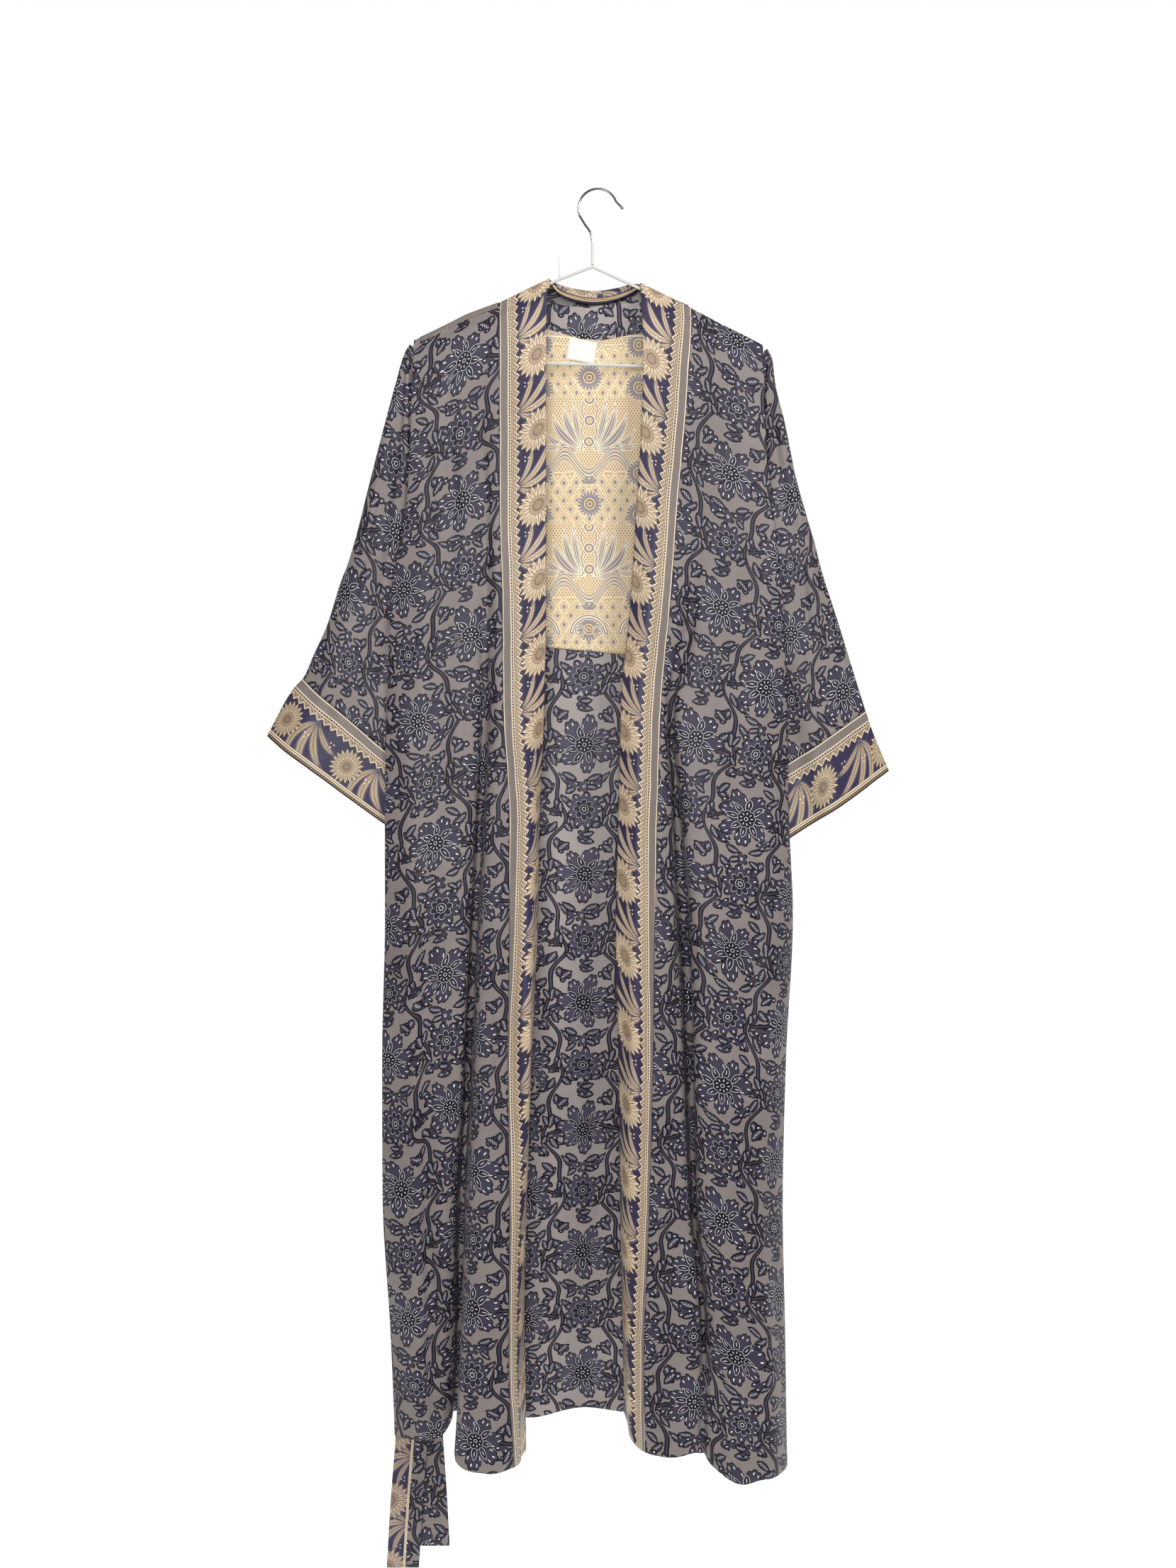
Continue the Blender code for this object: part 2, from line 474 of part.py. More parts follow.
def front(side, seam_line, top_x, x_rows, y_rows, hem):
    top_x = np.array(top_x, float)
    top_z = shoulder(top_x)
    rows = [np.stack([top_x, np.full_like(top_x, -depth), top_z - drop], axis=1) for drop, depth in ROLL]
    rows += on_levels(x_rows, y_rows, top_z)
    rows.append(np.stack(hem, axis=1))
    rows = np.array(rows, float)
    rows[len(ROLL) + 1:, 0, 0] = seam_x(rows[len(ROLL) + 1:, 0, 2], seam_line)
    grid = across(rows, FRONT_STEPS)
    out = normals(grid, flat_ends=(0,))
    out[len(ROLL) + 1:, 0] = upright_rim(out[len(ROLL) + 1:, 0])
    grid = drawn_back(grid, 0, SEAM_GAP / 2)
    hem = len(grid) - 1
    fold = sum(FRONT_STEPS[:FOLD])
    seam = sum(FRONT_STEPS[:RIBBON])
    edge = sum(FRONT_STEPS)
    for name, rows, columns in (("front_shoulder_", (0, TOP_END), (0, seam)),
                                ("front_side_", (TOP_END, hem), (0, fold)),
                                ("front_", (TOP_END, hem), (fold, seam))):
        part(name + side, grid, out, rows, columns, CLOTH, material("print"))
    for name, rows in (("band_shoulder_", (0, TOP_END)), ("band_", (TOP_END, hem))):
        part(name + side, grid, out, rows, (seam, edge), BAND_CLOTH, material("border"))


def side_fold(seam, seam_depth, reach, depth, outward):
    # The back's path from its side seam round the side fold to the outer layer, as (x, y) pairs.
    inset = np.array(FOLD_INSET)
    x = seam + outward * (reach * np.array(FOLD_REACH) - inset)
    y = seam_depth + np.array(FOLD_DEPTH) * (depth - seam_depth)
    return np.stack([x, y], axis=1)


def back_panel():
    # The roll over the hanger with the neck's curve, the levels with both side folds, the hem.
    left_top = LEFT_SEAM_X[0] + np.array(FOLD_INSET)
    right_top = RIGHT_SEAM_X[0] - np.array(FOLD_INSET)
    top_x = np.concatenate([left_top, BACK_LINE_X, right_top[::-1]])
    side = np.zeros(len(FOLD_LINES))
    top_y = np.concatenate([side + ROLL[0][1], BACK_TOP_Y, side + ROLL[0][1]])
    top_z = shoulder(top_x) - np.concatenate([side, BACK_TOP_DROP, side])
    x_rows = []
    y_rows = []
    levels_and_hem = [*LEVELS, BACK_HEM_Z[0]]
    shares = [*SLOPE_SHARES, 0.0]
    for level, share, sides, middle in zip(levels_and_hem, shares, BACK_SIDES, BACK_Y):
        seam_depth, left_reach, right_reach, left_depth, right_depth = sides
        left_z = level + share * (top_z[0] - NECK_LEVEL)
        right_z = level + share * (top_z[-1] - NECK_LEVEL)
        left = side_fold(seam_x(left_z, LEFT_SEAM_X), seam_depth, left_reach, left_depth, -1)
        right = side_fold(seam_x(right_z, RIGHT_SEAM_X), seam_depth, right_reach, right_depth, 1)
        x_rows.append(np.concatenate([left[:, 0], BACK_LINE_X, right[::-1, 0]]))
        y_rows.append(np.concatenate([left[:, 1], middle, right[::-1, 1]]))
    rows = []
    for drop, depth in ROLL:
        swell = np.minimum(depth - ROLL[0][1], y_rows[0] - top_y)
        rows.append(np.stack([top_x, top_y + swell, top_z - drop], axis=1))
    rows += on_levels(x_rows, y_rows, top_z)
    rows.append(np.stack([x_rows[-1], y_rows[-1], BACK_HEM_Z], axis=1))
    grid = across(np.array(rows, float), BACK_STEPS)
    out = normals(grid, flat_ends=(0,))
    out[:, 0] = upright_rim(out[:, 0])
    out[:, -1] = upright_rim(out[:, -1])
    grid = drawn_back(drawn_back(grid, 0, SEAM_GAP / 2), -1, SEAM_GAP / 2)
    hem = len(grid) - 1
    ends = len(FOLD_LINES)
    left, neck_left = sum(BACK_STEPS[:ends - 1]), sum(BACK_STEPS[:ends + NECK_LINES[0]])
    neck_right, right = sum(BACK_STEPS[:ends + NECK_LINES[1]]), sum(BACK_STEPS[:1 - ends])
    last = sum(BACK_STEPS)
    for name, rows, columns in (("back_shoulder_left", (0, TOP_END), (0, neck_left)),
                                ("back_neck", (0, TOP_END), (neck_left, neck_right)),
                                ("back_shoulder_right", (0, TOP_END), (neck_right, last)),
                                ("back_armhole_left", (TOP_END, UNDERARM), (0, left)),
                                ("back_chest", (TOP_END, UNDERARM), (left, right)),
                                ("back_armhole_right", (TOP_END, UNDERARM), (right, last)),
                                ("back_side_left", (UNDERARM, hem), (0, left)),
                                ("back", (UNDERARM, hem), (left, right)),
                                ("back_side_right", (UNDERARM, hem), (right, last))):
        part(name, grid, out, rows, columns, CLOTH, material("print"))
    return grid


def depth_at(grid, x, z):
    # Depth of a hanging sheet at a place seen from the front: first along each column to the
    # height, then across that section to the place.
    columns = np.swapaxes(grid, 0, 1)
    found_x = [np.interp(-z, -column[:, 2], column[:, 0]) for column in columns]
    found_y = [np.interp(-z, -column[:, 2], column[:, 1]) for column in columns]
    return np.interp(x, found_x, found_y)


def sleeve(side, edges, depths):
    share = np.array(SLEEVE_PLACES)
    rows = []
    for (outer_x, outer_z, inner_x, inner_z), depth in zip(edges, depths):
        rows.append(np.stack([inner_x + share * (outer_x - inner_x), depth,
                              inner_z + share * (outer_z - inner_z)], axis=1))
    grid = across(np.array(rows), SLEEVE_STEPS)
    out = normals(grid)
    arm = drawn_back(np.swapaxes(grid[:CUFF_STATION + 1], 0, 1), -1, SEAM_GAP / 2)
    cuff = drawn_back(np.swapaxes(grid[CUFF_STATION:], 0, 1), 0, SEAM_GAP / 2)
    wall("sleeve_" + side, np.swapaxes(arm, 0, 1), CLOTH, out[:CUFF_STATION + 1], material("print"))
    wall("cuff_" + side, np.swapaxes(cuff, 0, 1), CLOTH, out[CUFF_STATION:], material("border"))


def neck_band():
    # At each station the inner leg hangs inside the neck and the outer leg lies over the back.
    crests = np.array([crest for crest, low, inner in NECK_BAND])
    course_of_crest = np.gradient(crests, axis=0)
    outward = np.stack([-course_of_crest[:, 1], course_of_crest[:, 0], np.zeros(len(crests))], axis=1)
    outward /= np.linalg.norm(outward, axis=1, keepdims=True)
    down = np.array([0, 0, -1])
    rows = []
    for (crest, low, inner), out in zip(NECK_BAND, outward):
        crest = np.array(crest)
        low = np.array(low)
        lean = np.array([low[0] - crest[0], 0.0, low[2] - crest[2]])
        lean /= np.linalg.norm(lean)
        fold = min(NECK_FOLD, 0.3 + inner / 3)
        outside = crest + out * fold + lean * fold
        rows.append([crest - out * fold + down * inner, crest - out * fold + down * fold, crest, outside,
                     (outside + low) / 2, low])
    grid = across(np.array(rows), (NECK_STEPS,) * (len(rows[0]) - 1))
    grid = np.swapaxes(across(np.swapaxes(grid, 0, 1), (NECK_STEPS,) * (len(NECK_BAND) - 1)), 0, 1)
    wall("neck_band", grid, NECK_CLOTH, normals(grid), material("print"))


def facing(back):
    x = np.linspace(FACING_LEFT, FACING_RIGHT, FACING_LINES)
    share = np.linspace(0, 1, FACING_ROWS)[:, None]
    top = np.interp(x, FACING_TOP_X, FACING_TOP_Z)
    foot = np.interp(x, (FACING_LEFT, FACING_RIGHT), FACING_FOOT)
    z = top + share * (foot - top)
    grid = np.array([[(px, depth_at(back, px, pz) - LAYER_STEP, pz) for px, pz in zip(x, row)]
                     for row in z])
    wall("back_facing", grid, CLOTH, normals(grid), material("gold"))
    return grid


def label(panel):
    turn = math.radians(LABEL_TILT)
    u = np.linspace(-0.5, 0.5, LABEL_LINES)[None, :] * LABEL_SIZE[0]
    v = np.linspace(0.5, -0.5, LABEL_ROWS)[:, None] * LABEL_SIZE[1]
    x = LABEL_CENTRE[0] + u * math.cos(turn) - v * math.sin(turn)
    z = LABEL_CENTRE[1] + u * math.sin(turn) + v * math.cos(turn)
    nearest = min(depth_at(panel, px, pz) for px, pz in zip(x.flat, z.flat))
    grid = np.stack([x, np.full_like(x, nearest - LAYER_STEP), z], axis=2)
    wall("label", grid, LABEL_CLOTH, normals(grid), material("cream"))


def belt():
    # A flat strip along its path, lying across it in X.
    path = np.array(BELT_PATH)
    half = np.array([BELT_WIDTH / 2, 0, 0])
    grid = np.stack([path - half, path, path + half], axis=1)
    wall("belt", grid, BELT_CLOTH, normals(grid), material("border"))


def wire(name, points, radius, surface, closed=False, sides=2, swell=()):
    # A round wire along its points; the first points may each have their own share of its radius.
    shape = bpy.data.curves.new(name, "CURVE")
    shape.dimensions = "3D"
    shape.bevel_depth = radius * MM
    shape.bevel_resolution = sides
    shape.use_fill_caps = not closed
    line = shape.splines.new("POLY")
    line.points.add(len(points) - 1)
    line.use_cyclic_u = closed
    for place, point in zip(line.points, points):
        place.co = (point[0] * MM, point[1] * MM, point[2] * MM, 1.0)
    for place, share in zip(line.points, swell):
        place.radius = share
    shape.materials.append(surface)
    return placed(name, shape)


def smooth_line(points, count):
    points = np.array(points, float)[None]
    return across(points, (count,) * (points.shape[1] - 1))[0]


def arc(centre, radius, start, end, count):
    angles = np.radians(np.linspace(start, end, count))
    return [(centre[0] + radius * math.cos(a), centre[1] + radius * math.sin(a)) for a in angles]


def upright(pairs):
    return [(x, 0.0, z) for x, z in pairs]


def hanger():
    coated = material("coated wire")
    bright = material("bright wire")
    left = arc(LEFT_LOOP[:2], LEFT_LOOP[2], *LEFT_LOOP_TURN, LOOP_POINTS)
    right = arc(RIGHT_LOOP[:2], RIGHT_LOOP[2], *RIGHT_LOOP_TURN, LOOP_POINTS)
    outline = [PEAK, *LEFT_SHOULDER_WIRE, *left, *right, *reversed(RIGHT_SHOULDER_WIRE)]
    wire("hanger_frame", upright(outline), FRAME_WIRE, coated, closed=True)
    wire("hanger_neck", upright([(NECK_X, NECK_TOP), (NECK_X, NECK_FOOT)]), NECK_RADIUS, coated, sides=3)
    wire("hanger_notch", upright([(NOTCH[0], NOTCH[1]), (NOTCH[0], NOTCH[2])]), NOTCH[3], coated)
    bend = arc(HOOK_CENTRE, HOOK_RADIUS, HOOK_TIP_ANGLE, HOOK_TURN_ANGLE, BEND_POINTS)
    stem = smooth_line([(x, 0, z) for x, z in (bend[-1], *HOOK_STEM)], WIRE_STEPS)[1:]
    tip = np.array(HOOK_TIP)
    outward = (tip - bend[0]) / np.linalg.norm(tip - bend[0])
    turns = np.radians(BALL_TURNS)
    ball = [tuple(tip + outward * BALL_RADIUS * math.cos(turn)) for turn in turns]
    swell = [BALL_RADIUS * math.sin(turn) / HOOK_WIRE for turn in turns]
    wire("hanger_hook", [*upright(ball), *upright(bend), *stem.tolist()], HOOK_WIRE, bright, swell=swell)


for thing in list(bpy.data.objects):
    bpy.data.objects.remove(thing, do_unlink=True)
front("left", LEFT_SEAM_X, LEFT_TOP_X, LEFT_X, LEFT_Y, LEFT_HEM)
front("right", RIGHT_SEAM_X, RIGHT_TOP_X, RIGHT_X, RIGHT_Y, RIGHT_HEM)
back = back_panel()
sleeve("left", LEFT_SLEEVE_EDGES, LEFT_SLEEVE_Y)
sleeve("right", RIGHT_SLEEVE_EDGES, RIGHT_SLEEVE_Y)
neck_band()
label(facing(back))
belt()
wire("belt_loop", smooth_line(LOOP_RING, WIRE_STEPS), LOOP_RADIUS, material("print"))
hanger()
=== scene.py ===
import math

import bpy
import numpy as np
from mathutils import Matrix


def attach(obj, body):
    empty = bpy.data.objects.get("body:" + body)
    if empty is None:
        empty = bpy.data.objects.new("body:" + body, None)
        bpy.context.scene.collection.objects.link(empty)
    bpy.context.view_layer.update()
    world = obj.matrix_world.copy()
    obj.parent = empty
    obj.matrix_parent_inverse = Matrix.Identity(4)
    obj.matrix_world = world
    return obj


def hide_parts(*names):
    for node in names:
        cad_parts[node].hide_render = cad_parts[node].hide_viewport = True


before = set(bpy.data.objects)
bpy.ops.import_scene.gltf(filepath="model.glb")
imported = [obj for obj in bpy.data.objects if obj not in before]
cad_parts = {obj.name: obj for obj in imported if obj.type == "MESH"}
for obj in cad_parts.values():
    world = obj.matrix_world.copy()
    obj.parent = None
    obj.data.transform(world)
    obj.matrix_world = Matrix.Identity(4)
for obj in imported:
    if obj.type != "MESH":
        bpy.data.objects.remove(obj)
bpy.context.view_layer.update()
mm = 0.001


def across(points, steps):
    # Each row of points rounded by a centripetal Catmull-Rom curve, each span cut in its steps.
    first = 2 * points[:, :1] - points[:, 1:2]
    last = 2 * points[:, -1:] - points[:, -2:-1]
    padded = np.concatenate([first, points, last], axis=1)
    lengths = np.linalg.norm(np.diff(padded, axis=1), axis=2) ** 0.5 + 1e-6
    knots = np.concatenate([np.zeros((len(points), 1)), np.cumsum(lengths, axis=1)], axis=1)
    made = []
    for span, count in enumerate(steps):
        near, four = knots[:, span:span + 4, None], padded[:, span:span + 4]
        for share in np.arange(count) / count:
            place = near[:, 1:2] + share * (near[:, 2:3] - near[:, 1:2])
            made.append(onSpan(near, four, place))
    return np.stack(made + [points[:, -1]], axis=1)


def onSpan(knots, points, place):
    # A place on the middle span of four points, by blending neighbours three times.
    for low, high in ((knots[:, 0:3], knots[:, 1:4]), (knots[:, 0:2], knots[:, 2:4]),
                      (knots[:, 1:2], knots[:, 2:3])):
        points = ((high - place) * points[:, :-1] + (place - low) * points[:, 1:]) / (high - low)
    return points[:, 0]


def along(levels, values, wanted):
    # Smooth values down the levels that never overshoot: a cubic on each span, with the harmonic
    # mean of the slopes on both sides at each level, and none where they turn.
    shape = values.shape[1:]
    values = values.reshape(len(values), -1)
    step = np.diff(levels)
    rise = np.diff(values, axis=0) / step[:, None]
    slope = np.zeros_like(values)
    same = rise[1:] * rise[:-1] > 0
    before = 2 * step[1:, None] + step[:-1, None]
    after = step[1:, None] + 2 * step[:-1, None]
    weight = np.where(same, before * rise[1:] + after * rise[:-1], 1.0)
    slope[1:-1] = np.where(same, (before + after) * rise[1:] * rise[:-1] / weight, 0.0)
    slope[0], slope[-1] = rise[0], rise[-1]
    span = np.clip(np.searchsorted(levels, wanted, side="right") - 1, 0, len(step) - 1)
    h = step[span][:, None]
    t = ((wanted - levels[span]) / step[span])[:, None]
    low, high = values[span], values[span + 1]
    made = ((1 + 2 * t) * (1 - t) ** 2 * low + t * (1 - t) ** 2 * h * slope[span]
            + t ** 2 * (3 - 2 * t) * high + t ** 2 * (t - 1) * h * slope[span + 1])
    return made.reshape((len(wanted),) + shape)


def refined(rows, steps, sections):
    # A fine grid from a table's rows: rounded across, smooth down. Each section ends at a row of
    # the table and has its own count of fine rows.
    grid = across(np.array(rows, float), steps)
    levels = np.concatenate([[0], np.cumsum(np.linalg.norm(np.diff(grid, axis=0), axis=2).mean(axis=1))])
    wanted = [np.zeros(1)]
    for row, count in sections:
        wanted.append(np.linspace(wanted[-1][-1], levels[row], count + 1)[1:])
    return along(levels, grid, np.concatenate(wanted))


def unit(vectors):
    # Vectors over their own lengths.
    return vectors / (np.linalg.norm(vectors, axis=-1, keepdims=True) + 1e-12)


def normals(grid):
    # Unit normals from the course of the rows and of the columns at each point.
    run = unit(np.diff(grid, axis=1))
    fall = unit(np.diff(grid, axis=0))
    run = np.concatenate([run[:, :1], run], axis=1) + np.concatenate([run, run[:, -1:]], axis=1)
    fall = np.concatenate([fall[:1], fall], axis=0) + np.concatenate([fall, fall[-1:]], axis=0)
    return unit(np.cross(run, fall))


def walked(grid, axis, start=0):
    # Length walked over the cloth along an axis of the grid, counted from a row or column.
    length = np.cumsum(np.linalg.norm(np.diff(grid, axis=axis), axis=2), axis=axis)
    length = np.insert(length, 0, 0, axis=axis)
    return length - np.take(length, [start], axis=axis)


def smoothStep(low, high, value):
    # From 0 to 1 between low and high: 3t² - 2t³.
    t = np.clip((value - low) / (high - low), 0, 1)
    return t * t * (3 - 2 * t)


def rolling(u, v, waves):
    # A sum of slow waves over the cloth: each has its length across and down, height and phase.
    total = np.zeros(np.broadcast(u, v).shape)
    for acrossLength, downLength, height, phase in waves:
        total += height * np.sin(2 * np.pi * (u / acrossLength + v / downLength) + phase)
    return total


creaseLine = dict(bend=0.35, turns=7, fadeIn=0.3, fadeOut=0.7)  # how a crease winds, and where it fades


def troughs(x, z, creases):
    # Soft creases: each runs from one place to another, with its half width and depth. Its relief is
    # -depth·fade·e^-((off - bend)/half)², which fades to nothing at both ends.
    total = np.zeros(x.shape)
    for x0, z0, x1, z1, half, depth in creases:
        dx, dz = x1 - x0, z1 - z0
        share = ((x - x0) * dx + (z - z0) * dz) / (dx * dx + dz * dz)
        off = ((x - x0) * dz - (z - z0) * dx) / math.hypot(dx, dz)
        bend = creaseLine["bend"] * half * np.sin(creaseLine["turns"] * share + x0)
        fade = smoothStep(0, creaseLine["fadeIn"], share)
        fade = fade * (1 - smoothStep(creaseLine["fadeOut"], 1, share))
        total -= depth * fade * np.exp(-((off - bend) / half) ** 2)
    return total


def cloth(name, grid, uv, thickness, surface, facing=None):
    # A thin closed shell: grid plus and minus facing·thickness/2, and a rim round it, turned outward
    # where its volume comes out negative.
    facing = normals(grid) if facing is None else facing
    rows, columns = grid.shape[:2]
    shift = facing * (thickness[..., None] if isinstance(thickness, np.ndarray) else thickness) / 2
    points = np.concatenate([(grid + shift).reshape(-1, 3), (grid - shift).reshape(-1, 3)]) * mm
    index = np.arange(rows * columns).reshape(rows, columns)
    far = rows * columns
    quads = np.stack([index[:-1, :-1], index[1:, :-1], index[1:, 1:], index[:-1, 1:]], axis=-1)
    quads = quads.reshape(-1, 4)
    rim = np.concatenate([index[0, :-1], index[:-1, -1], index[-1, :0:-1], index[:0:-1, 0]])
    after = np.roll(rim, -1)
    side = np.stack([rim, after, after + far, rim + far], axis=1)
    faces = np.concatenate([quads, quads[:, ::-1] + far, side])
    a, b, c, d = (points[faces[:, corner]] for corner in range(4))
    if np.sum(a * np.cross(b, c)) + np.sum(a * np.cross(c, d)) < 0:
        faces = faces[:, ::-1]
    uvs = np.concatenate([uv.reshape(-1, 2)] * 2) * mm
    return meshPiece(name, points, faces, uvs, surface)


def meshPiece(name, points, faces, uvs, surface):
    # Whole arrays into one mesh, with its cloth coordinates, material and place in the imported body.
    mesh = bpy.data.meshes.new(name)
    mesh.vertices.add(len(points))
    mesh.vertices.foreach_set("co", points.astype(np.float32).ravel())
    mesh.loops.add(faces.size)
    mesh.loops.foreach_set("vertex_index", faces.astype(np.int32).ravel())
    mesh.polygons.add(len(faces))
    mesh.polygons.foreach_set("loop_start", np.arange(0, faces.size, faces.shape[1], dtype=np.int32))
    mesh.update(calc_edges=True)
    layer = mesh.uv_layers.new(name="cloth")
    layer.data.foreach_set("uv", uvs[faces.ravel()].astype(np.float32).ravel())
    mesh.shade_smooth()
    mesh.materials.append(surface)
    made = bpy.data.objects.new(name, mesh)
    bpy.context.scene.collection.objects.link(made)
    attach(made, "root")
    return made


cord = dict(sides=10, askew=(0.0, 0.31, 0.95))  # askew: a direction that none of the cords runs in


def rope(name, path, radius, surface):
    # A round cord: path + radius·(cos turn · side + sin turn · up), closed by flat ends.
    sides = cord["sides"]
    course = unit(np.gradient(path, axis=0))
    side = unit(np.cross(course, np.array(cord["askew"])))
    up = np.cross(side, course)
    turn = np.linspace(0, 2 * np.pi, sides, endpoint=False)[None, :, None]
    rings = path[:, None] + radius * (np.cos(turn) * side[:, None] + np.sin(turn) * up[:, None])
    index = np.arange(len(path) * sides).reshape(len(path), sides)
    ahead = np.roll(index, -1, axis=1)
    quads = np.stack([index[:-1], ahead[:-1], ahead[1:], index[1:]], axis=-1).reshape(-1, 4)
    points = np.concatenate([rings.reshape(-1, 3), path[:1], path[-1:]])
    tips = len(points) - 2
    near = np.stack([ahead[0], index[0], np.full(sides, tips)], axis=1)
    end = np.stack([index[-1], ahead[-1], np.full(sides, tips + 1)], axis=1)
    triangles = np.concatenate([quads[:, [0, 1, 2]], quads[:, [0, 2, 3]], near, end])
    walkedLength = np.concatenate([np.repeat(walked(path[None], 1)[0], sides), [0, 0]])
    uvs = np.stack([np.zeros(len(points)), walkedLength], axis=1)
    a, b, c = (points[triangles[:, corner]] for corner in range(3))
    if np.sum(a * np.cross(b, c)) < 0:
        triangles = triangles[:, ::-1]
    return meshPiece(name, points * mm, triangles, uvs * mm, surface)


class Val:
    # One shader value. Sums on it add Math nodes to its material.
    def __init__(self, tree, socket):
        self.tree = tree
        self.socket = socket

    def node(self, kind, settings, inputs, out=0):
        # Any other node: its type, its settings, then the values or links of its sockets.
        made = self.tree.nodes.new("ShaderNode" + kind)
        for key, value in settings.items():
            if key == "stops":
                setStops(made.color_ramp, value)
            else:
                setattr(made, key, value)
        for key, value in inputs.items():
            if isinstance(value, Val):
                self.tree.links.new(value.socket, made.inputs[key])
            else:
                made.inputs[key].default_value = value
        return Val(self.tree, made.outputs[out])

    def other(self, out):
        # Another output of the same node.
        return Val(self.tree, self.socket.node.outputs[out])

    def math(self, kind, *others):
        # A Math node on this value and others.
        return self.node("Math", {"operation": kind}, dict(enumerate((self,) + others)))

    def __add__(self, other): return self.math("ADD", other)
    def __radd__(self, other): return self.math("ADD", other)
    def __sub__(self, other): return self.math("SUBTRACT", other)
    def __rsub__(self, other): return self.node("Math", {"operation": "SUBTRACT"}, {0: other, 1: self})
    def __mul__(self, other): return self.math("MULTIPLY", other)
    def __rmul__(self, other): return self.math("MULTIPLY", other)
    def __truediv__(self, other): return self.math("DIVIDE", other)
    def __rtruediv__(self, other): return self.node("Math", {"operation": "DIVIDE"}, {0: other, 1: self})
    def __abs__(self): return self.math("ABSOLUTE")
    def scaled(self, by, plus=0.0): return self.math("MULTIPLY_ADD", by, plus)
    def wrapped(self, half): return self.math("WRAP", half, -half)
    def below(self, other): return self.math("LESS_THAN", other)
    def above(self, other): return self.math("GREATER_THAN", other)
    def near(self, other, reach): return self.math("COMPARE", other, reach)
    def most(self, other): return self.math("MAXIMUM", other)
    def wave(self): return self.math("SINE")
    def blended(self, other, share):
        # self·(1 - share) + other·share.
        return self.node("Mix", {"data_type": "FLOAT"}, {0: share, 2: self, 3: other})

    def tinted(self, other, share, way="MIX"):
        # A colour blended towards another colour.
        sockets = {0: share, 6: self, 7: other}
        return self.node("Mix", {"data_type": "RGBA", "blend_type": way}, sockets, 2)


def setStops(ramp, stops):
    # Hard-edged bands: each colour from its place to the next.
    ramp.interpolation = "CONSTANT"
    while len(ramp.elements) < len(stops):
        ramp.elements.new(1.0)
    for element, (place, colour) in zip(ramp.elements, stops):
        element.position = place
        element.color = colour


def linear(code):
    # A web colour as linear light: ((c + 0.055) / 1.055)^2.4, and c / 12.92 for the darkest.
    parts = [int(code[i:i + 2], 16) / 255 for i in (0, 2, 4)]
    return tuple(p / 12.92 if p <= 0.04045 else ((p + 0.055) / 1.055) ** 2.4 for p in parts) + (1.0,)


bandSpan = dict(inside=24.0, outside=6.0)  # mm that a shape's bands reach into it and past its edge


def drawn(under, distance, bands):
    # Lays a drawn shape over a colour: bands of colour by distance to the shape's edge, in mm,
    # the last ending at the edge. Inside the shape the distance is below nothing.
    inside, span = bandSpan["inside"], bandSpan["inside"] + bandSpan["outside"]
    ends = [(limit + inside) / span for limit, colour in bands]
    colours = [colour for limit, colour in bands]
    stops = list(zip([0.0] + ends, colours + [colours[-1][:3] + (0.0,)]))
    place = distance.scaled(1 / span, inside / span)
    ramp = place.node("ValToRGB", {"stops": stops}, {0: place})
    return under.tinted(ramp, ramp.other(1))


def polar(x, y):
    # Radius and turn, the turn from 0 to 1 all round.
    return (x * x + y * y).math("SQRT"), y.math("ARCTAN2", x).scaled(1 / (2 * math.pi), 0.5)


def sector(turn, count, phase=0.0):
    # How far a place lies from the middle of its petal, from 0 to half a petal.
    return abs(turn.scaled(float(count), phase).math("FRACT") - 0.5)


def roundEdge(share, base, reach):
    # A petal's rounded rim: a parabola from the base radius between petals to the tip.
    return (share * share).scaled(-4.0 * reach, base + reach)


def petals(radius, turn, count, base, reach, phase=0.0):
    # Distance to the rounded rim of a flower with so many petals.
    return radius - roundEdge(sector(turn, count, phase), base, reach)


def droplet(share, radius, count, off, halfWidth, halfLength):
    # Distance to a drop in each petal: a lens along the radius, off counted from its middle.
    rim = (off * off).scaled(halfWidth / halfLength ** 2, -halfWidth)
    return (share * radius).scaled(2 * math.pi / count) + rim


def wreath(share, radius, count, ring, halfWidth, halfLength):
    # Distance to leaves laid end to end on a ring: lenses along it.
    run = (share * radius).scaled(2 * math.pi / count)
    return abs(radius - ring) + (run * run).scaled(halfWidth / halfLength ** 2, -halfWidth)


def bentLeaf(x, y, start, tip, bulge, half):
    # Distance to a leaf laid on the arc from start to tip, which bulges to one side:
    # abs(off) + half·(2·run/length)² - half, with run along the arc and off across it.
    chord = math.dist(start, tip)
    radius = (chord ** 2 / 4 + bulge ** 2) / (2 * bulge)
    side = ((start[1] - tip[1]) / chord, (tip[0] - start[0]) / chord)
    middle = [(a + b) / 2 + n * (bulge - radius) for a, b, n in zip(start, tip, side)]
    crown = math.atan2(side[1] * radius, side[0] * radius) / (2 * math.pi) + 0.5
    length = 2 * abs(radius) * math.asin(chord / 2 / abs(radius))
    distance, turn = polar(x - middle[0], y - middle[1])
    run = (turn - crown).wrapped(0.5) * (2 * math.pi * abs(radius))
    off = distance - abs(radius)
    return abs(off) + (run * run).scaled(4 * half / length ** 2, -half), run, off


def starter(name):
    # A new material with its cloth coordinates in mm and its shader.
    made = bpy.data.materials.new(name)
    made.use_nodes = True
    tree = made.node_tree
    shader = tree.nodes["Principled BSDF"]
    place = tree.nodes.new("ShaderNodeUVMap")
    place.uv_map = "cloth"
    vector = Val(tree, place.outputs[0])
    split = vector.node("SeparateXYZ", {}, {0: vector})
    return made, shader, vector, split.scaled(1000.0), split.other(1).scaled(1000.0)


def noise(vector, scale, detail, flat=True):
    # Noise over the cloth's flat place, or over a place in space.
    return vector.node("TexNoise", {"noise_dimensions": "2D" if flat else "3D"},
                       {"Vector": vector, "Scale": scale, "Detail": detail})


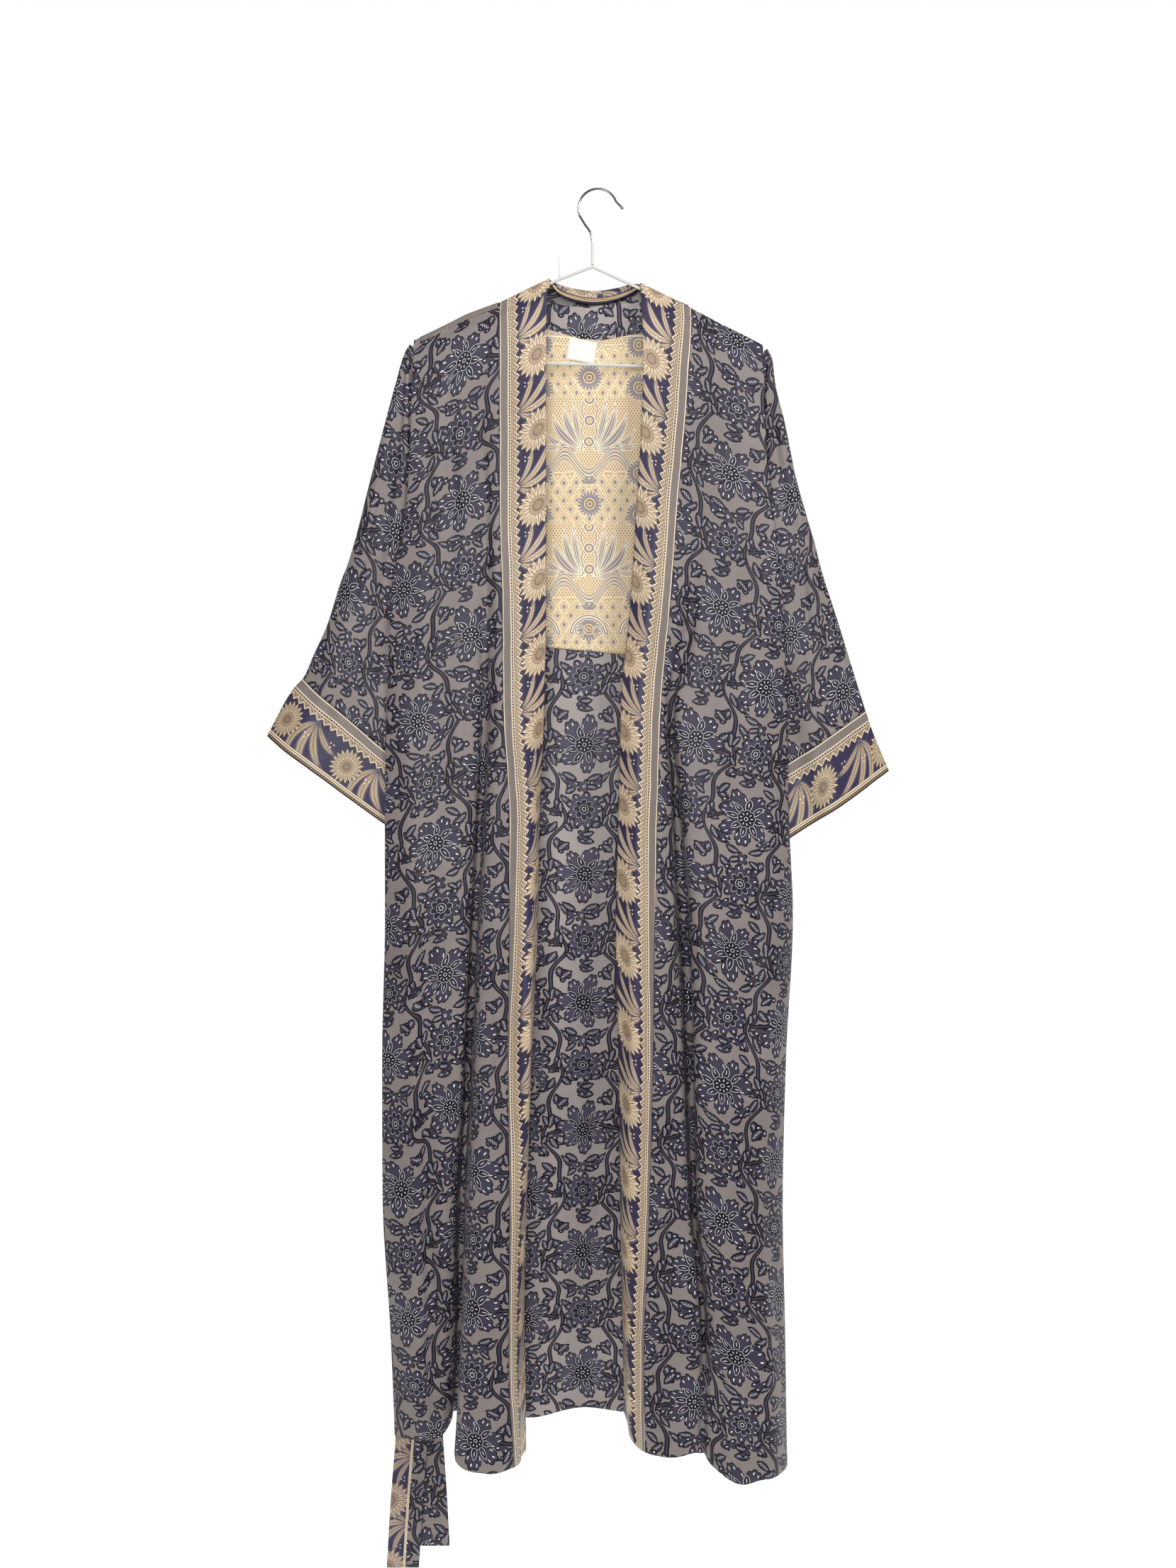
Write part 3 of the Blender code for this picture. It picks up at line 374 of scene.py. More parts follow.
def wobbled(vector, u, v, scale, size):
    # Hand-drawn lines: each place is shifted by (noise - 0.5)·size. The third value is a noise of
    # its own.
    stray = noise(vector, scale, 1.0).other(1)
    parts = stray.node("SeparateColor", {}, {0: stray})
    return (parts - 0.5).scaled(size) + u, (parts.other(1) - 0.5).scaled(size) + v, parts.other(2)


def nearest(u, v, width, height):
    # Place from the nearest point of a lattice with a second point in the middle of each cell.
    x1, y1 = u.wrapped(width / 2), v.wrapped(height / 2)
    x2, y2 = (u + width / 2).wrapped(width / 2), (v + height / 2).wrapped(height / 2)
    second = (abs(x1) / width + abs(y1) / height).above(0.5)
    return x1.blended(x2, second), y1.blended(y2, second)


def plain(tree, colour):
    # A colour that is the same everywhere, as the first layer of a print.
    made = tree.nodes.new("ShaderNodeRGB")
    made.outputs[0].default_value = colour
    return Val(tree, made.outputs[0])


flowerInk = dict(
    ground=linear("837a78"), fill=linear("3c3848"), deep=linear("241f2c"), line=linear("0f0913"),
    white=linear("d2d1d7"),
    width=148.0, height=159.0,  # one repeat, in mm, as are the sizes below
    wobble=(16.0, 10.0),  # how fine and how wide the lines waver
    outline=1.7, fanOutline=1.8, vine=2.7, sway=11.0,
    leafCount=12, leafAt=10.5, leafLean=(0.78, 0.62), leafBend=0.02, leafRise=4.0,
    leafLong=110, leafHalf=5.0,
    berryCount=8, berryAt=17.0, budAt=50.0,
    berry=(3, 3.4, 5.2), bud=(5, 4.4, 4.6),  # how many petals, their foot and their reach
    fan=(7, 21.0, 13.5), scallop=(4, -1.5, 2.4), drop=(6.2, 0.8, 2.3), dropFrom=15.0,
    slim=(8, 0.3, 15.0, 3.7, 8.5), heart=(9, 9.0, 1.6),
    rim=(9, 16.5, 6.5), rimDrop=(4.6, 0.8, 2.0), star=(8, 8.6, 5.0, 0.4), smallHeart=(9, 5.0, 1.1),
    bigRing=dict(count=9, phase=0.15, ring=42.5, leaf=(4.8, 10.0), rib=6.0, ripples=560.0, ripple=0.8),
    smallRing=dict(count=7, phase=0.4, ring=29.0, leaf=(4.2, 8.0), rib=4.5, ripples=420.0, ripple=0.7),
)


def leafRing(colour, ink, radius, turn, count, phase, ring, leaf, rib, ripples, ripple):
    # A wreath of leaves, and along each a rib: abs(radius - ring + ripple·sin(ripples·turn)).
    lobe = sector(turn, count, phase)
    leaves = wreath(lobe, radius, count, ring, *leaf)
    colour = drawn(colour, leaves, [(-ink["outline"], ink["fill"]), (0.0, ink["line"])])
    line = abs(radius - ring + (turn.scaled(ripples)).wave() * ripple) - 0.3
    line = line.most((abs(lobe) * radius).scaled(2 * math.pi / count, -rib))
    return drawn(colour, line, [(0.0, ink["white"])])


def bloomPrint(vector, u, v, ink):
    # Big and small flowers in turn down each column, half a step apart from column to column, with
    # vines, leaves and berries between them.
    u, v, stray = wobbled(vector, u, v, *ink["wobble"])
    fill, line, white, deep = ink["fill"], ink["line"], ink["white"], ink["deep"]
    width, height = ink["width"], ink["height"]
    outlined = [(-ink["outline"], fill), (0.0, line)]
    pearl, inlaid = [(0.0, white), (0.7, line)], [(-0.6, deep), (0.0, white), (0.9, line)]
    # the vine runs between two columns and leans away from the big flowers, with leaves on both sides
    fold = u.math("PINGPONG", width / 2)
    sway = (v.scaled(2 * math.pi / height, math.pi / 2)).wave().scaled(ink["sway"], width / 4)
    side = fold - (sway + (v.scaled(6 * math.pi / height)).wave() * 4.0)
    apart = abs(side)
    colour = drawn(plain(u.tree, ink["ground"]), apart - ink["vine"], outlined)
    step = side.above(0.0)
    y = (v + step * (height / ink["leafCount"])).wrapped(height / ink["leafCount"])
    (along, over), half = ink["leafLean"], ink["leafHalf"]
    run = apart.scaled(along, -ink["leafAt"]) + y * over
    off = y.scaled(along) - apart * over + (run * run) * ink["leafBend"] + ink["leafRise"]
    leaf = abs(off) + (run * run).scaled(half / ink["leafLong"], -half) + (run.scaled(1.7)).wave() * 0.5
    colour = drawn(colour, leaf, outlined)
    rib = abs(off + (run.scaled(2.6)).wave() * 0.8) - 0.32
    colour = drawn(colour, rib.most(abs(run) - 6.0), [(0.0, white)])
    # three-lobed berries beside the vine
    y = (v + step * (height / ink["berryCount"]) + 13.0).wrapped(height / ink["berryCount"])
    radius, turn = polar(apart - ink["berryAt"], y)
    colour = drawn(colour, petals(radius, turn, *ink["berry"]), outlined)
    spot = droplet(sector(turn, 3), radius, 3, radius - 5.4, 0.9, 1.4)
    colour = drawn(colour, spot, [(0.0, white), (0.5, line)])
    # stems and a broken wreath of leaves round each big flower, and buds above and below it
    x, y = nearest(u, v, width, height)
    stem = abs(abs(x) * 0.34 - y.scaled(0.94, 9.0)) - 2.4
    colour = drawn(colour, stem.most(abs(x) - 46.0), outlined)
    radius, turn = polar(x, y)
    colour = leafRing(colour, ink, radius, turn, **ink["bigRing"])
    budRadius, budTurn = polar(x, abs(y) - ink["budAt"])
    colour = drawn(colour, petals(budRadius, budTurn, *ink["bud"]), outlined)
    colour = drawn(colour, budRadius - 1.7, [(-0.8, line), (0.0, white)])
    # the big flower: seven fan petals edged with drops, eight slim petals, a beaded middle
    turn = turn + stray * 0.10
    uneven = (turn.scaled(6 * math.pi, 1.0)).wave() * 1.6
    (count, base, reach), (times, foot, tip) = ink["fan"], ink["scallop"]
    lobe = sector(turn, count)
    lobelet = sector(turn, times * count)
    fan = radius - roundEdge(lobe, base, reach) - roundEdge(lobelet, foot, tip) - uneven
    colour = drawn(colour, fan, [(-ink["fanOutline"], fill), (0.0, line)])
    parting = (abs(lobe - 0.5) * radius).scaled(2 * math.pi / count, -0.7)
    colour = drawn(colour, parting.most(fan), [(0.0, line)])
    inset, half, long = ink["drop"]
    drop = droplet(lobelet, radius, times * count, fan + inset, half, long)
    colour = drawn(colour, drop.most(ink["dropFrom"] - radius), pearl)
    count, phase, ring, half, long = ink["slim"]
    lobe = sector(turn, count, phase)
    colour = drawn(colour, droplet(lobe, radius, count, radius - ring + uneven, half, long), inlaid)
    colour = drawn(colour, droplet(lobe, radius, count, radius - (ring + 1.0), 0.45, 3.0), [(0.0, white)])
    heart, count = petals(radius, turn, *ink["heart"]), ink["heart"][0]
    colour = drawn(colour, heart, [(-0.55, line), (0.0, white), (0.8, line)])
    bead = droplet(sector(turn, count), radius, count, radius - 6.2, 0.55, 1.6)
    colour = drawn(colour, bead, [(0.0, white)])
    colour = drawn(colour, radius - 2.2, [(-0.6, line), (0.0, white)])
    # small flowers on the other points of the lattice
    x, y = nearest(u + width / 2, v, width, height)
    radius, turn = polar(x, y)
    colour = leafRing(colour, ink, radius, turn, **ink["smallRing"])
    rim, count = petals(radius, turn, *ink["rim"]), ink["rim"][0]
    colour = drawn(colour, rim, outlined)
    inset, half, long = ink["rimDrop"]
    drop = droplet(sector(turn, count), radius, count, rim + inset, half, long)
    colour = drawn(colour, drop, pearl)
    colour = drawn(colour, petals(radius, turn, *ink["star"]), inlaid)
    colour = drawn(colour, petals(radius, turn, *ink["smallHeart"]), [(-0.5, line), (0.0, white)])
    return drawn(colour, abs(radius - 2.4) - 0.35 + (turn.scaled(44.0)).wave() * 0.5, [(0.0, white)])


borderInk = dict(
    navy=linear("35304a"), gold=linear("d8c1a4"), tan=linear("a38d75"), brown=linear("4a3a34"),
    ribbon=linear("887d76"), ribbonDark=linear("5d5556"), pale=linear("e9d9bd"), blade=linear("67637a"),
    pitch=87.0, centre=45.5, size=25.0, laceEdge=22.0,  # one repeat, and places across from the seam
    cordAt=13.2, dotsEdge=12.2, ribbonEdge=10.8, ribbonCord=10.2, seamCord=1.0,
    wobble=(22.0, 2.2), link=(4.3, 5.0), scallop=5.0, dot=1.8, rib=1.25,
    plumes=(((22, 12), (70, 15), 13, 3.4), ((22, 12), (68, -3), 9, 3.8), ((22, 12), (57, -22), 7, 3.6),
            ((22, 10), (38, -26), 4, 2.6)),  # each has its foot, tip, bulge and half width
    beads=((39.0, 15.5, 3.0, 1.3), (31.0, -16.0, 2.6, 1.1)),
    rays=34, petals=20,
)


def borderPrint(vector, s, v, ink):
    # From the seam to the edge: ribbed ribbon, dotted line, gold lace, then sunflowers and plumes.
    s, v = wobbled(vector, s, v, *ink["wobble"])[:2]
    navy, gold, tan, brown, pale = ink["navy"], ink["gold"], ink["tan"], ink["brown"], ink["pale"]
    pitch = ink["pitch"]
    colour = plain(s.tree, navy)
    # plumes spring from one place in the lace and arch over the next flower, with barbs and midribs
    halfWay = (v + pitch / 2).wrapped(pitch / 2)
    for start, tip, bulge, half in ink["plumes"]:
        leaf, run, off = bentLeaf(s, halfWay, start, tip, bulge, half)
        barb = ((run * 0.8 - abs(off) * 1.6).scaled(2.6)).wave().scaled(0.45, 0.4)
        colour = drawn(colour, leaf - 1.3, [(-0.8, brown), (0.0, ink["blade"])])
        colour = colour.tinted(plain(s.tree, gold).tinted(tan, barb), leaf.below(0.0))
        colour = drawn(colour, (abs(off) - 0.3).most(leaf), [(0.0, brown)])
    # beads under the plumes
    for side, down, reach, half in ink["beads"]:
        radius, turn = polar(s - side, halfWay - down)
        bead = droplet(sector(turn, 3), radius, 3, radius - reach, half, half)
        colour = drawn(colour, bead, [(-0.4, pale), (0.0, tan)])
    # sunflowers
    y = v.wrapped(pitch / 2)
    radius, turn = polar(s - ink["centre"], y)
    size, petals = ink["size"], ink["petals"]
    back = sector(turn, petals)
    colour = drawn(colour, radius - size * 0.98 + abs(back) * 20.0, [(-1.6, tan), (0.4, brown)])
    lobe = sector(turn, petals, 0.5)
    petal = radius - size + (lobe * lobe).scaled(20.0) + abs(lobe) * 11.0
    colour = drawn(colour, petal, [(-12.0, tan), (-1.3, gold), (-0.3, pale), (0.9, brown)])
    vein = droplet(lobe, radius, petals, radius - size * 0.62, 0.35, size * 0.22)
    colour = drawn(colour, vein, [(0.0, brown)])
    rays = (turn.scaled(6.28 * ink["rays"])).wave() * 0.5
    colour = drawn(colour, radius - size * 0.4 + rays,
                   [(-4.9, tan), (-4.2, brown), (-1.3, tan), (-0.5, gold), (0.3, brown)])
    # lace: a chain of six-sided links with a scalloped edge
    x, y = nearest(s.scaled(1.0, -12.0), v, *ink["link"])
    link = (abs(x) * 1.15).most(abs(y) + abs(x) * 0.5)
    lace = s - ink["laceEdge"] + abs(v.wrapped(ink["scallop"])).scaled(0.9, -1.0)
    chain = drawn(plain(s.tree, brown), link - 2.05,
                  [(-1.5, tan), (-0.8, brown), (-0.1, gold), (0.4, brown)])
    colour = colour.tinted(chain, lace.below(0.0))
    colour = drawn(colour, abs(lace) - 0.5, [(0.0, pale)])
    colour = drawn(colour, abs(lace - 1.2) - 0.5, [(0.0, brown)])
    colour = drawn(colour, abs(s - ink["cordAt"]) - 0.9, [(-0.5, pale), (0.0, brown)])
    # dotted line and ribbon
    dots = drawn(plain(s.tree, navy), abs(v.wrapped(ink["dot"])) - 0.8, [(0.0, gold)])
    colour = colour.tinted(dots, s.below(ink["dotsEdge"]))
    rib = abs(v.wrapped(ink["rib"])) - 0.42
    ribs = drawn(plain(s.tree, ink["ribbon"]), rib, [(0.0, ink["ribbonDark"])])
    colour = colour.tinted(ribs, s.below(ink["ribbonEdge"]))
    colour = drawn(colour, abs(s - ink["ribbonCord"]) - 0.8, [(-0.35, pale), (0.0, tan)])
    return drawn(colour, abs(s - ink["seamCord"]) - 0.7, [(-0.3, pale), (0.0, tan)])


def cuffPrint(vector, s, v, ink):
    # The border drawn closer together, edged below with two gold cords and a narrow zigzag lace.
    colour = borderPrint(vector, s, v, ink)
    colour = drawn(colour, ink["foot"] - s, [(-0.6, ink["brown"]), (0.0, ink["tan"])])
    for place in ink["cords"]:
        colour = drawn(colour, abs(s - place) - 1.0,
                       [(-0.6, ink["pale"]), (-0.3, ink["gold"]), (0.0, ink["brown"])])
    zigzag = s - ink["zigzag"] + abs(v.wrapped(1.5)) * 1.6
    return drawn(colour, zigzag.most(ink["zigzagTop"] - s), [(-0.5, ink["gold"]), (0.6, ink["brown"])])


goldInk = dict(
    ground=linear("e4cfae"), dark=linear("9c7d58"), grey=linear("8f8587"), pale=linear("f6e7c6"),
    mid=linear("cbae84"),
    width=118.0, height=148.0, archAt=352.0, hemAt=374.0,  # one repeat, and places down from the top
    wobble=(18.0, 4.0), scale=(3.6, 5.6), trellis=(15.0, 21.0), ring=12.5,
    palmAt=28.0, palm=(11, 4.0, 8.0),
    garland=(4.0, 13.0, 8.4), daisies=((0.0, 50.0), (0.5, 14.0), (0.5, 62.0)), daisy=(20, 16.0, 6.6),
    sprays=(((6, -14), (30, -66), 6, 4.4), ((6, -14), (44, -54), 8, 5.0), ((6, -14), (54, -36), 9, 4.6),
            ((6, -14), (18, -72), 3, 3.6), ((34, -22), (56, -20), 5, 3.0)),
)


def goldPrint(vector, u, v, ink):
    # A gold ground of scales, mirrored about upright lines of rings, with daisies, garlands and leaf
    # sprays.
    grey, pale, dark, mid = ink["grey"], ink["pale"], ink["dark"], ink["mid"]
    width, height = ink["width"], ink["height"]
    thin = [(-0.7, grey), (0.0, pale)]
    x, y = nearest(u, v, *ink["scale"])
    scale = abs(x) * 1.5 + abs(y) - 1.7
    colour = drawn(plain(u.tree, ink["ground"]), scale, [(-0.5, dark), (0.0, mid)])
    u, v = wobbled(vector, u, v, *ink["wobble"])[:2]
    fold = u.math("PINGPONG", width / 2)
    down = v.wrapped(height / 2)
    # trellis of thin lines in the lower half of each repeat
    x, y = nearest(fold, v + height / 4, *ink["trellis"])
    trellis = abs(x) * 1.4 + abs(y) - 9.0
    colour = drawn(colour, trellis.most(12.0 - down),
                   [(-5.4, grey), (-4.4, pale), (-1.2, mid), (0.0, pale)])
    # leaf sprays on both sides of the rings
    for start, tip, bulge, half in ink["sprays"]:
        leaf, off = bentLeaf(fold, down, start, tip, bulge, half)[::2]
        colour = drawn(colour, leaf, [(-1.5, grey), (-0.9, pale), (0.0, grey), (0.8, pale)])
        colour = drawn(colour, (abs(off) - 0.3).most(leaf + 1.0), [(0.0, pale)])
    # garland: five lines along a wave that dips at each column of rings
    wave = (fold.scaled(2 * math.pi / width * 2.0, math.pi / 2)).wave()
    drop, swing, half = ink["garland"]
    band = down - drop - wave * swing
    colour = drawn(colour, abs(band) - half, [(-7.6, pale), (-5.4, grey), (-4.8, pale), (-3.2, mid),
                                              (-2.6, pale), (-0.8, grey), (0.0, pale)])
    # chain of rings in a long loop, standing on the garland
    loop = abs(fold - 5.0 - abs((v.scaled(math.pi / 25.0)).wave()) * 3.6) - 1.4
    colour = drawn(colour, loop.most(down + 12.0), thin)
    radius = polar(fold, v.wrapped(ink["ring"]))[0]
    ring = (radius - 6.4).most(down + 8.0)
    colour = drawn(colour, ring, [(-3.9, mid), (-3.2, pale), (-0.8, grey), (0.0, pale)])
    # small palm under the garland, and the daisies
    radius, turn = polar(fold, down - ink["palmAt"])
    colour = drawn(colour, petals(radius, turn, *ink["palm"]).most(down - ink["palmAt"]), thin)
    count, size, middle = ink["daisy"]
    for share, drop in ink["daisies"]:
        radius, turn = polar(fold - share * width, (v - drop).wrapped(height / 2))
        lobe = sector(turn, count)
        colour = drawn(colour, radius - size + (lobe * lobe).scaled(24.0), [(-0.8, grey), (0.0, pale)])
        colour = drawn(colour, radius - middle, [(-4.2, grey), (-3.6, pale), (-0.8, dark), (0.0, pale)])
    # arches with curled ends along the lower edge
    x = abs(u.wrapped(width / 4))
    radius = polar(x, v - ink["archAt"])[0]
    arch = abs(radius - 21.0) - 3.0
    arch = arch.most(v - (ink["archAt"] + 1.0))
    colour = drawn(colour, arch, [(-2.3, pale), (-0.7, grey), (0.0, pale)])
    radius = polar(x - 11.0, v - (ink["archAt"] - 4.0))[0]
    colour = drawn(colour, abs(radius - 5.5) - 1.4, thin)
    # pale line at the top and a plain strip at the hem
    colour = drawn(colour, abs(v - 4.0) - 0.7, [(0.0, pale)])
    return colour.tinted(mid, (v - ink["hemAt"]).above(0.0))


finishes = dict(  # slub is how fine the threads are, and lift how strong their relief
    crepe=dict(rough=0.48, sheen=0.03, slub=900.0, lift=0.22),
    border=dict(rough=0.34, sheen=0.03, slub=700.0, lift=0.3),
    cuff=dict(rough=0.36, sheen=0.04, slub=700.0, lift=0.35),
    gold=dict(rough=0.42, sheen=0.04, slub=800.0, lift=0.3),
    belt=dict(rough=0.42, sheen=0.05, slub=800.0, lift=0.3),
    tape=dict(rough=0.7, sheen=0.3, slub=1500.0, lift=0.3),
    cord=dict(rough=0.42, sheen=0.1, slub=1200.0, lift=0.3),
)
clothLook = dict(clouds=9.0, shade=(0.36, 0.82), uneven=0.16, sheenRoughness=0.45, specular=0.2,
                 relief=0.0006)


def finished(made, shader, vector, colour, rough, sheen, slub, lift):
    # Silky cloth: the print times a faint cloud, over a fine weave that takes the light.
    cloudy = noise(vector, clothLook["clouds"], 3.0)
    shade = cloudy.scaled(*clothLook["shade"])
    grey = shade.node("CombineColor", {}, {0: shade, 1: shade, 2: shade})
    colour = colour.tinted(grey, 1.0, "MULTIPLY")
    roughness = cloudy * clothLook["uneven"] + (rough - clothLook["uneven"] / 2)
    grain = noise(vector, slub, 2.0)
    bump = grain.node("Bump", {}, {"Strength": lift, "Distance": clothLook["relief"], "Height": grain})
    joined(made, shader, {"Base Color": colour, "Roughness": roughness, "Normal": bump},
           {"Sheen Weight": sheen, "Sheen Roughness": clothLook["sheenRoughness"],
            "Specular IOR Level": clothLook["specular"]})
    return made


def joined(made, shader, links, constants):
    # What changes over the surface is linked to the shader, and the rest is set on its sockets.
    for key, value in links.items():
        made.node_tree.links.new(value.socket, shader.inputs[key])
    for key, value in constants.items():
        shader.inputs[key].default_value = value


def printedCloth(name, draw, ink, finish, shift=(0.0, 0.0), flip=1.0):
    # A print drawn at flip·u + shift and v + shift, on cloth of one of the finishes.
    made, shader, vector, u, v = starter(name)
    colour = draw(vector, u.scaled(flip, shift[0]), v + shift[1], ink)
    return finished(made, shader, vector, colour, **finishes[finish])


# the back shows its inside, the paler wrong side of the print, and its inks are lightened further as
# painted light where the fronts shade the inside; the cuffs' border is drawn narrower and less bright
insideAndPaintedLightInk = dict(flowerInk, ground=linear("a19896"), fill=linear("4d495a"), deep=linear("2c2735"))
cuffInk = dict(borderInk, pitch=90.0, centre=39.5, size=19.5, laceEdge=19.0, gold=linear("c6b091"),
               tan=linear("8f7b66"), foot=58.0, cords=(59.2, 61.4), zigzagTop=62.6, zigzag=65.0)
printLeft = printedCloth("flower print left", bloomPrint, flowerInk, "crepe", (30.0, 20.0))
printRight = printedCloth("flower print right", bloomPrint, flowerInk, "crepe", (-14.0, 64.0), -1.0)
# the back's lighter print is partly the paler wrong side of the cloth and partly painted light
printBack = printedCloth("flower print back with painted light", bloomPrint, insideAndPaintedLightInk, "crepe", (8.0, 40.0))
border = printedCloth("gold border", borderPrint, borderInk, "border")
cuffCloth = printedCloth("cuff border", cuffPrint, cuffInk, "cuff")
goldCloth = printedCloth("gold print", goldPrint, goldInk, "gold")
print("prints ready")

# what the panels share: the shoulder line, the side seams and the roll over the hanger, as drop and depth
bodice = dict(
    shoulderX=(-222, -214, -184, -152, -113, -54, 0, 47, 102, 129, 171, 192, 200),
    shoulderZ=(-177, -171.5, -158, -142, -128, -100, -112, -104.5, -131, -145.6, -165.6, -176.5, -182),
    seamZ=(172, 190, 223, 281, 353, 420, 452, 478, 1520),
    leftSeam=(-214.6, -213.4, -206, -194, -191, -190, -190, -190, -190),
    rightSeam=(193.4, 192.0, 185, 178, 176, 175, 175, 175, 175),
    roll=((0.0, 0.2), (0.9, 1.95), (2.75, 2.85), (11.0, 4.6)),
    levels=(-120, -207, -272, -354, -478, -602, -727, -853, -1020, -1190, -1362),
    slopeShares=(1.0, 0.50, 0.22, 0, 0, 0, 0, 0, 0, 0, 0),
    neckLevel=-101, seamGap=0.15,
    thickness=0.8, bandThickness=1.3, hemThickness=1.3, hemDepth=14.0, hemStep=1.6,
)


def shoulder(x):
    # Height of the shoulder line, straight between its places.
    return np.interp(x, bodice["shoulderX"], bodice["shoulderZ"])


def seamX(z, side):
    # Place of a side seam across, straight between its heights.
    return np.interp(-z, bodice["seamZ"], side)


def onLevels(xRows, yRows, topZ):
    # Rows at the levels: level + share·(top of the shoulder - neck level).
    rise = topZ - bodice["neckLevel"]
    return [np.stack([np.array(x, float), np.array(y, float), level + share * rise], axis=1)
            for level, share, x, y in zip(bodice["levels"], bodice["slopeShares"], xRows, yRows)]


def rollRows(x, y, topZ):
    # Rows over the hanger: from the shoulder line down by each drop, at the depth given with it.
    return [np.stack([x, y(depth), topZ - drop], axis=1) for drop, depth in bodice["roll"]]


def drawnBack(grid, edges, axis=1):
    # Edge columns, or edge rows with axis 0, drawn back by the seam's gap towards their neighbours.
    grid = np.swapaxes(grid.copy(), 1, axis)
    for edge in edges:
        grid[:, edge] += unit(grid[:, 1 if edge == 0 else -2] - grid[:, edge]) * bodice["seamGap"]
    return np.swapaxes(grid, 1, axis)


def turned(facing, towards):
    # All normals reversed if, taken together, they point away from a direction.
    return facing if np.sum(facing * np.array(towards)) > 0 else -facing


def levelled(out, edges, rollEnd):
    # Normals made to lie flat where panels meet: none in depth at the top, none but depth at the sides.
    out[0, :, 1] = 0
    for edge in edges:
        out[rollEnd:, edge, 0] = 0
        out[rollEnd:, edge, 2] = 0
    return unit(out)


def hemmed(v):
    # Thickness, which grows to that of the hem over a short step at the hem's depth above the foot.
    share = smoothStep(0, bodice["hemStep"], v - (v[-1][None, :] - bodice["hemDepth"]))
    return bodice["thickness"] + (bodice["hemThickness"] - bodice["thickness"]) * share


def plane(u, v):
    # Cloth coordinates from lengths across and down.
    return np.stack(np.broadcast_arrays(u, v), axis=2)


tape = dict(name="leftShoulderTape", width=7.5, lift=0.9, thickness=0.6, start=9.8)
front = dict(
    rollCount=14, hangCount=380,  # fine rows over the hanger and below it
    seenSide=8, seenTop=(8, 110),  # columns and mm over which the relief begins
    growth=(0.6, 0.9, 300, 1300), calmBand=(0.35, 0.65, 4, 26),  # relief down the front and near the band
    gatherTop=620, gatherFoot=900,
)
leftFrontShape = dict(
    name="leftFront", bandName="leftBand",
    nodes=("front_shoulder_left", "front_side_left", "front_left"),
    bandNodes=("band_shoulder_left", "band_left"), seam="leftSeam",
    gather=0.0, tuck=7.0, tape=tape,  # the band's print is drawn in towards the hem
    waves=((95, 900, 0.9, 0.3), (57, -700, 0.5, 2.0), (140, 1500, 0.8, 4.0), (36, 520, 0.28, 1.0)),
    creases=(
        (-205, -250, -186, -520, 7, 2.6), (-178, -215, -160, -420, 6, 2.0),
        (-216, -560, -204, -980, 8, 2.2), (-184, -430, -196, -700, 6, 1.8),
        (-172, -760, -186, -1180, 7, 2.0), (-128, -300, -124, -560, 5, 1.5),
        (-230, -980, -224, -1430, 8, 2.0), (-200, -1150, -206, -1470, 6, 1.6),
        (-124, -900, -128, -1300, 5, 1.4),
    ),
    steps=(8, 6, 10, 8, 8, 8, 4, 4, 6, 8, 8, 10, 12),
    fold=2, ribbon=11,  # steps to the end of the side fold, and to the band
    topX=(-214.6, -213.8, -213.0, -192, -167, -155, -144, -140, -136, -129, -122, -113.5, -88, -56),
    x=(
        (-214.5, -214.5, -214.0, -192, -167, -155, -144, -140, -136, -129, -122, -113.7, -88, -58),
        (-206, -214, -217, -192, -167, -155, -144, -140, -136, -129, -122, -114, -88.5, -60),
        (-194, -214, -219, -191, -168, -153, -141, -137, -133, -128, -120, -114, -88.5, -60),
        (-191, -216, -223, -191, -168, -155, -141, -136, -131, -126, -120, -114, -88.5, -60),
        (-190, -233, -243, -201, -176, -160, -141, -135, -130, -125, -118, -111, -85.5, -60.7),
        (-190, -238, -249, -210, -183, -162, -140, -136, -130, -123, -116, -110, -85, -63.6),
        (-190, -240, -252, -214, -190, -169, -146, -142, -136, -128, -115, -103, -79, -70),
        (-190, -241, -253, -215, -198, -174, -152, -149, -143, -134, -116, -103, -80, -72),
        (-190, -245, -258, -217, -204, -179, -161, -158, -152, -141, -118, -105, -82, -77),
        (-190, -246, -259, -215, -203, -181, -169, -166, -160, -152, -126, -103, -88, -82),
        (-190, -238, -251, -210, -198, -183, -173, -171, -165, -159, -126, -104, -91, -87),
    ),
    y=(
        (-4.5, -6.0, -7.8, -9, -9, -9, -9, -9, -9, -9, -9, -9, -9, -9),
        (-4.6, -5.6, -8.4, -11, -11, -12, -12, -12, -12, -12, -12, -12, -12, -10),
        (-4.6, -5.6, -8.4, -13, -13, -14, -14, -13, -13, -14, -15, -15, -16, -12),
        (-4.7, -6.0, -8.4, -16, -15, -17, -17, -15, -15, -18, -19, -19, -20, -13),
        (-4.9, -7.5, -10, -21, -20, -22, -21, -18, -18, -22, -25, -25, -27, -13),
        (-5.0, -8.0, -11, -26, -24, -27, -24, -15, -15, -26, -30, -29, -32, -12),
        (-5.0, -8.5, -12, -29, -26, -30, -26, -12, -12, -34, -38, -36, -40, -12),
        (-5.0, -8.5, -13, -32, -28, -32, -28, -12, -12, -40, -46, -43, -47, -18),
        (-5.0, -8.5, -13, -34, -30, -35, -30, -12, -12, -48, -54, -51, -57, -28),
        (-5.0, -8.5, -14, -36, -31, -36, -31, -12, -12, -57, -65, -62, -47, -20),
        (-5.0, -8.5, -14, -37, -32, -36, -29, -12, -12, -64, -73, -70, -53, -27),
    ),
    hem=(
        (-190, -236, -247, -213, -197, -186, -176, -173, -167, -168, -129, -98, -89.5, -86.6),
        (-5.0, -8.5, -14, -36, -32, -34, -26, -13, -14, -66, -76, -73, -57, -32),
        (-1484, -1486, -1488, -1480, -1481, -1474, -1460, -1450, -1452, -1487, -1495, -1490, -1493, -1495),
    ),
)
